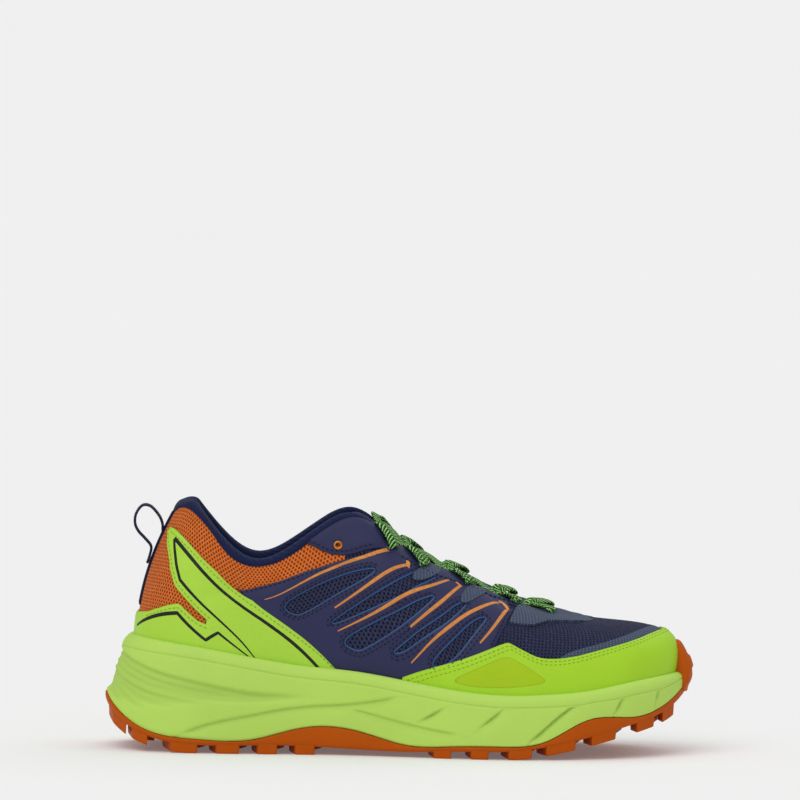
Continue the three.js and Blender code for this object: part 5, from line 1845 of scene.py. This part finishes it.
class SHOE_OT_stitching(PieceOperator):
    """Sews the panels along their edges"""

    bl_idname = "trail_shoe.stitching"
    bl_label = "Stitching"

    def build(self, given):
        values = {"Pitch": given.stitch_pitch, "Length": given.stitch_length, "Thread": given.thread}
        lime_runs, rand_runs, navy_runs = [], [], []

        def sew(runs, flat, lift):
            for path in both_sides(flat):
                runs.append(surface_path(path, lift))

        lines = [softened(on_chart(path), closed=False) for path, _ in V_LINES]
        windows = window_outlines()

        def clear_parts(flat):
            """Parts of a path that keep off the printed lines and the windows."""
            away = np.min([segment_distance(flat, line[:-1], line[1:]) for line in lines], axis=0)
            free = (away > 1.3) & (loop_distance(flat, windows) > 0.6) & ~inside(flat, windows)
            cuts = np.flatnonzero(np.diff(free.astype(int))) + 1
            return [part for part, kept in zip(np.split(flat, cuts), np.split(free, cuts))
                    if kept[0] and len(part) > 4]

        def along_edge(pixels, distance):
            line = softened(on_chart(pixels), closed=False)
            return side_step(stepped(line, 1.2, closed=False), distance)

        sew(lime_runs, along_edge(STRAP_BACK, -2.0), STITCH_LIFTS["heel"])
        sew(lime_runs, along_edge(STRAP_FRONT[:-1] + ((338, 666),), -2.0), STITCH_LIFTS["heel"])
        sew(lime_runs, along_edge(HEEL_TOP, -2.0), STITCH_LIFTS["heel"])
        for distance in (-1.5, -3.1):
            sew(rand_runs, along_edge(RAND_TOP, distance), STITCH_LIFTS["rand"])
        for part in clear_parts(along_edge(SADDLE_TOP[:5], -1.3)):
            sew(navy_runs, part, STITCH_LIFTS["saddle"])
        sew(navy_runs, along_edge(SADDLE_FRONT, 1.4), STITCH_LIFTS["saddle_front"])
        for window in windows:
            window = stepped(window, 1.2)
            turned = np.cross(window, np.roll(window, -1, axis=0)).sum() > 0
            for distance in (1.2, 2.6):
                ring = side_step(np.vstack([window, window[:1]]), -distance if turned else distance)
                for part in clear_parts(ring):
                    sew(navy_runs, part, STITCH_LIFTS["saddle"])
        sew(navy_runs, along_edge(STAY_CORNER, 1.5), STITCH_LIFTS["eyestay"])
        low = STAY_LEVELS[0] * CHART_RISE + 1.5
        bar = np.column_stack([np.linspace(chart_u(7.6), chart_u(11.6), 80), np.full(80, low)])
        sew(navy_runs, bar, STITCH_LIFTS["eyestay"])
        tree = stitch_tree()
        for name, runs, slot, colour in (("lime_stitches", lime_runs, "lime_film", given.lime),
                                         ("rand_stitches", rand_runs, "lime_film", given.rand),
                                         ("navy_stitches", navy_runs, "navy_film", given.navy_film)):
            colour = shade(colour, 0.66 if slot == "lime_film" else 0.3)
            thread = thread_material(f"{name}_thread", colour)
            piece = along_paths(name, tree, runs, dict(values, Material=thread))
            seat(piece, slot)


class SHOE_OT_stage(bpy.types.Operator):
    """Sets the floor, lights, sky and the camera of the photograph"""

    bl_idname = "trail_shoe.stage"
    bl_label = "Stage"
    bl_options = {"REGISTER", "UNDO"}

    def execute(self, context):
        scene = context.scene
        scene.view_settings.view_transform = "Standard"
        paper = Finish("paper", roughness=0.95, specular=0.05)
        tone = paper.noise(2.0, 2)
        paper.finish(paper.blend(tone, (0.80, 0.80, 0.80, 1), (0.81, 0.81, 0.81, 1)))
        paper.surface.inputs["Emission Color"].default_value = (1.0, 1.0, 1.0, 1)
        paper.surface.inputs["Emission Strength"].default_value = FLOOR_GLOW
        mesh = bpy.data.meshes.new("floor")
        mesh.from_pydata([(-30, -30, 0), (30, -30, 0), (30, 30, 0), (-30, 30, 0)], [], [(0, 1, 2, 3)])
        mesh.materials.append(paper.material)
        floor = bpy.data.objects.new("floor", mesh)
        scene.collection.objects.link(floor)
        world = bpy.data.worlds.new("studio")
        world.use_nodes = True
        sky = world.node_tree.nodes["Background"]
        sky.inputs["Color"].default_value = (1.0, 1.0, 1.0, 1)
        sky.inputs["Strength"].default_value = SKY_STRENGTH
        scene.world = world
        for name, place, strength, spread in SUNS:
            light = bpy.data.lights.new(name, "SUN")
            light.energy = strength
            light.angle = math.radians(spread)
            lamp = bpy.data.objects.new(name, light)
            lamp.rotation_euler = (-Vector(place)).to_track_quat("-Z", "Y").to_euler()
            scene.collection.objects.link(lamp)
        camera = bpy.data.cameras.new("photo_camera")
        camera.sensor_width = SENSOR_WIDTH
        camera.lens = SENSOR_WIDTH * CAMERA_DISTANCE / (PHOTO_SCALE * PHOTO_SIDE)
        camera.clip_end = 20.0
        seat_at = bpy.data.objects.new("photo_camera", camera)
        place = (CAMERA_PLACE - PLAN_CENTRE) * 0.001
        columns = np.column_stack([CAMERA_RIGHT, CAMERA_UP, -CAMERA_AHEAD, place])
        seat_at.matrix_world = Matrix(columns.tolist() + [[0, 0, 0, 1]])
        scene.collection.objects.link(seat_at)
        scene.camera = seat_at
        return {"FINISHED"}


class SHOE_PT_panel(bpy.types.Panel):
    """Lists the shoe's pieces in the sidebar"""

    bl_idname = "SHOE_PT_panel"
    bl_label = "Trail shoe"
    bl_space_type = "VIEW_3D"
    bl_region_type = "UI"
    bl_category = "Trail shoe"

    def draw(self, context):
        layout = self.layout
        for step in STEPS:
            layout.operator(step.bl_idname)
        for name in ShoeSettings.__annotations__:
            layout.prop(context.scene.trail_shoe, name)


STEPS = (SHOE_OT_upper, SHOE_OT_collar, SHOE_OT_midsole, SHOE_OT_outsole, SHOE_OT_insole, SHOE_OT_tongue,
         SHOE_OT_heel_panel, SHOE_OT_toe_rand, SHOE_OT_saddles, SHOE_OT_eyestays, SHOE_OT_laces,
         SHOE_OT_heel_loop, SHOE_OT_stitching, SHOE_OT_stage)


def register():
    for kind in (ShoeSettings, *STEPS, SHOE_PT_panel):
        bpy.utils.register_class(kind)
    bpy.types.Scene.trail_shoe = bpy.props.PointerProperty(type=ShoeSettings)


def unregister():
    del bpy.types.Scene.trail_shoe
    for kind in (SHOE_PT_panel, *reversed(STEPS), ShoeSettings):
        bpy.utils.unregister_class(kind)


def main():
    register()
    for step in STEPS:
        group, name = step.bl_idname.split(".")
        getattr(getattr(bpy.ops, group), name)()


if __name__ == "__main__":
    main()
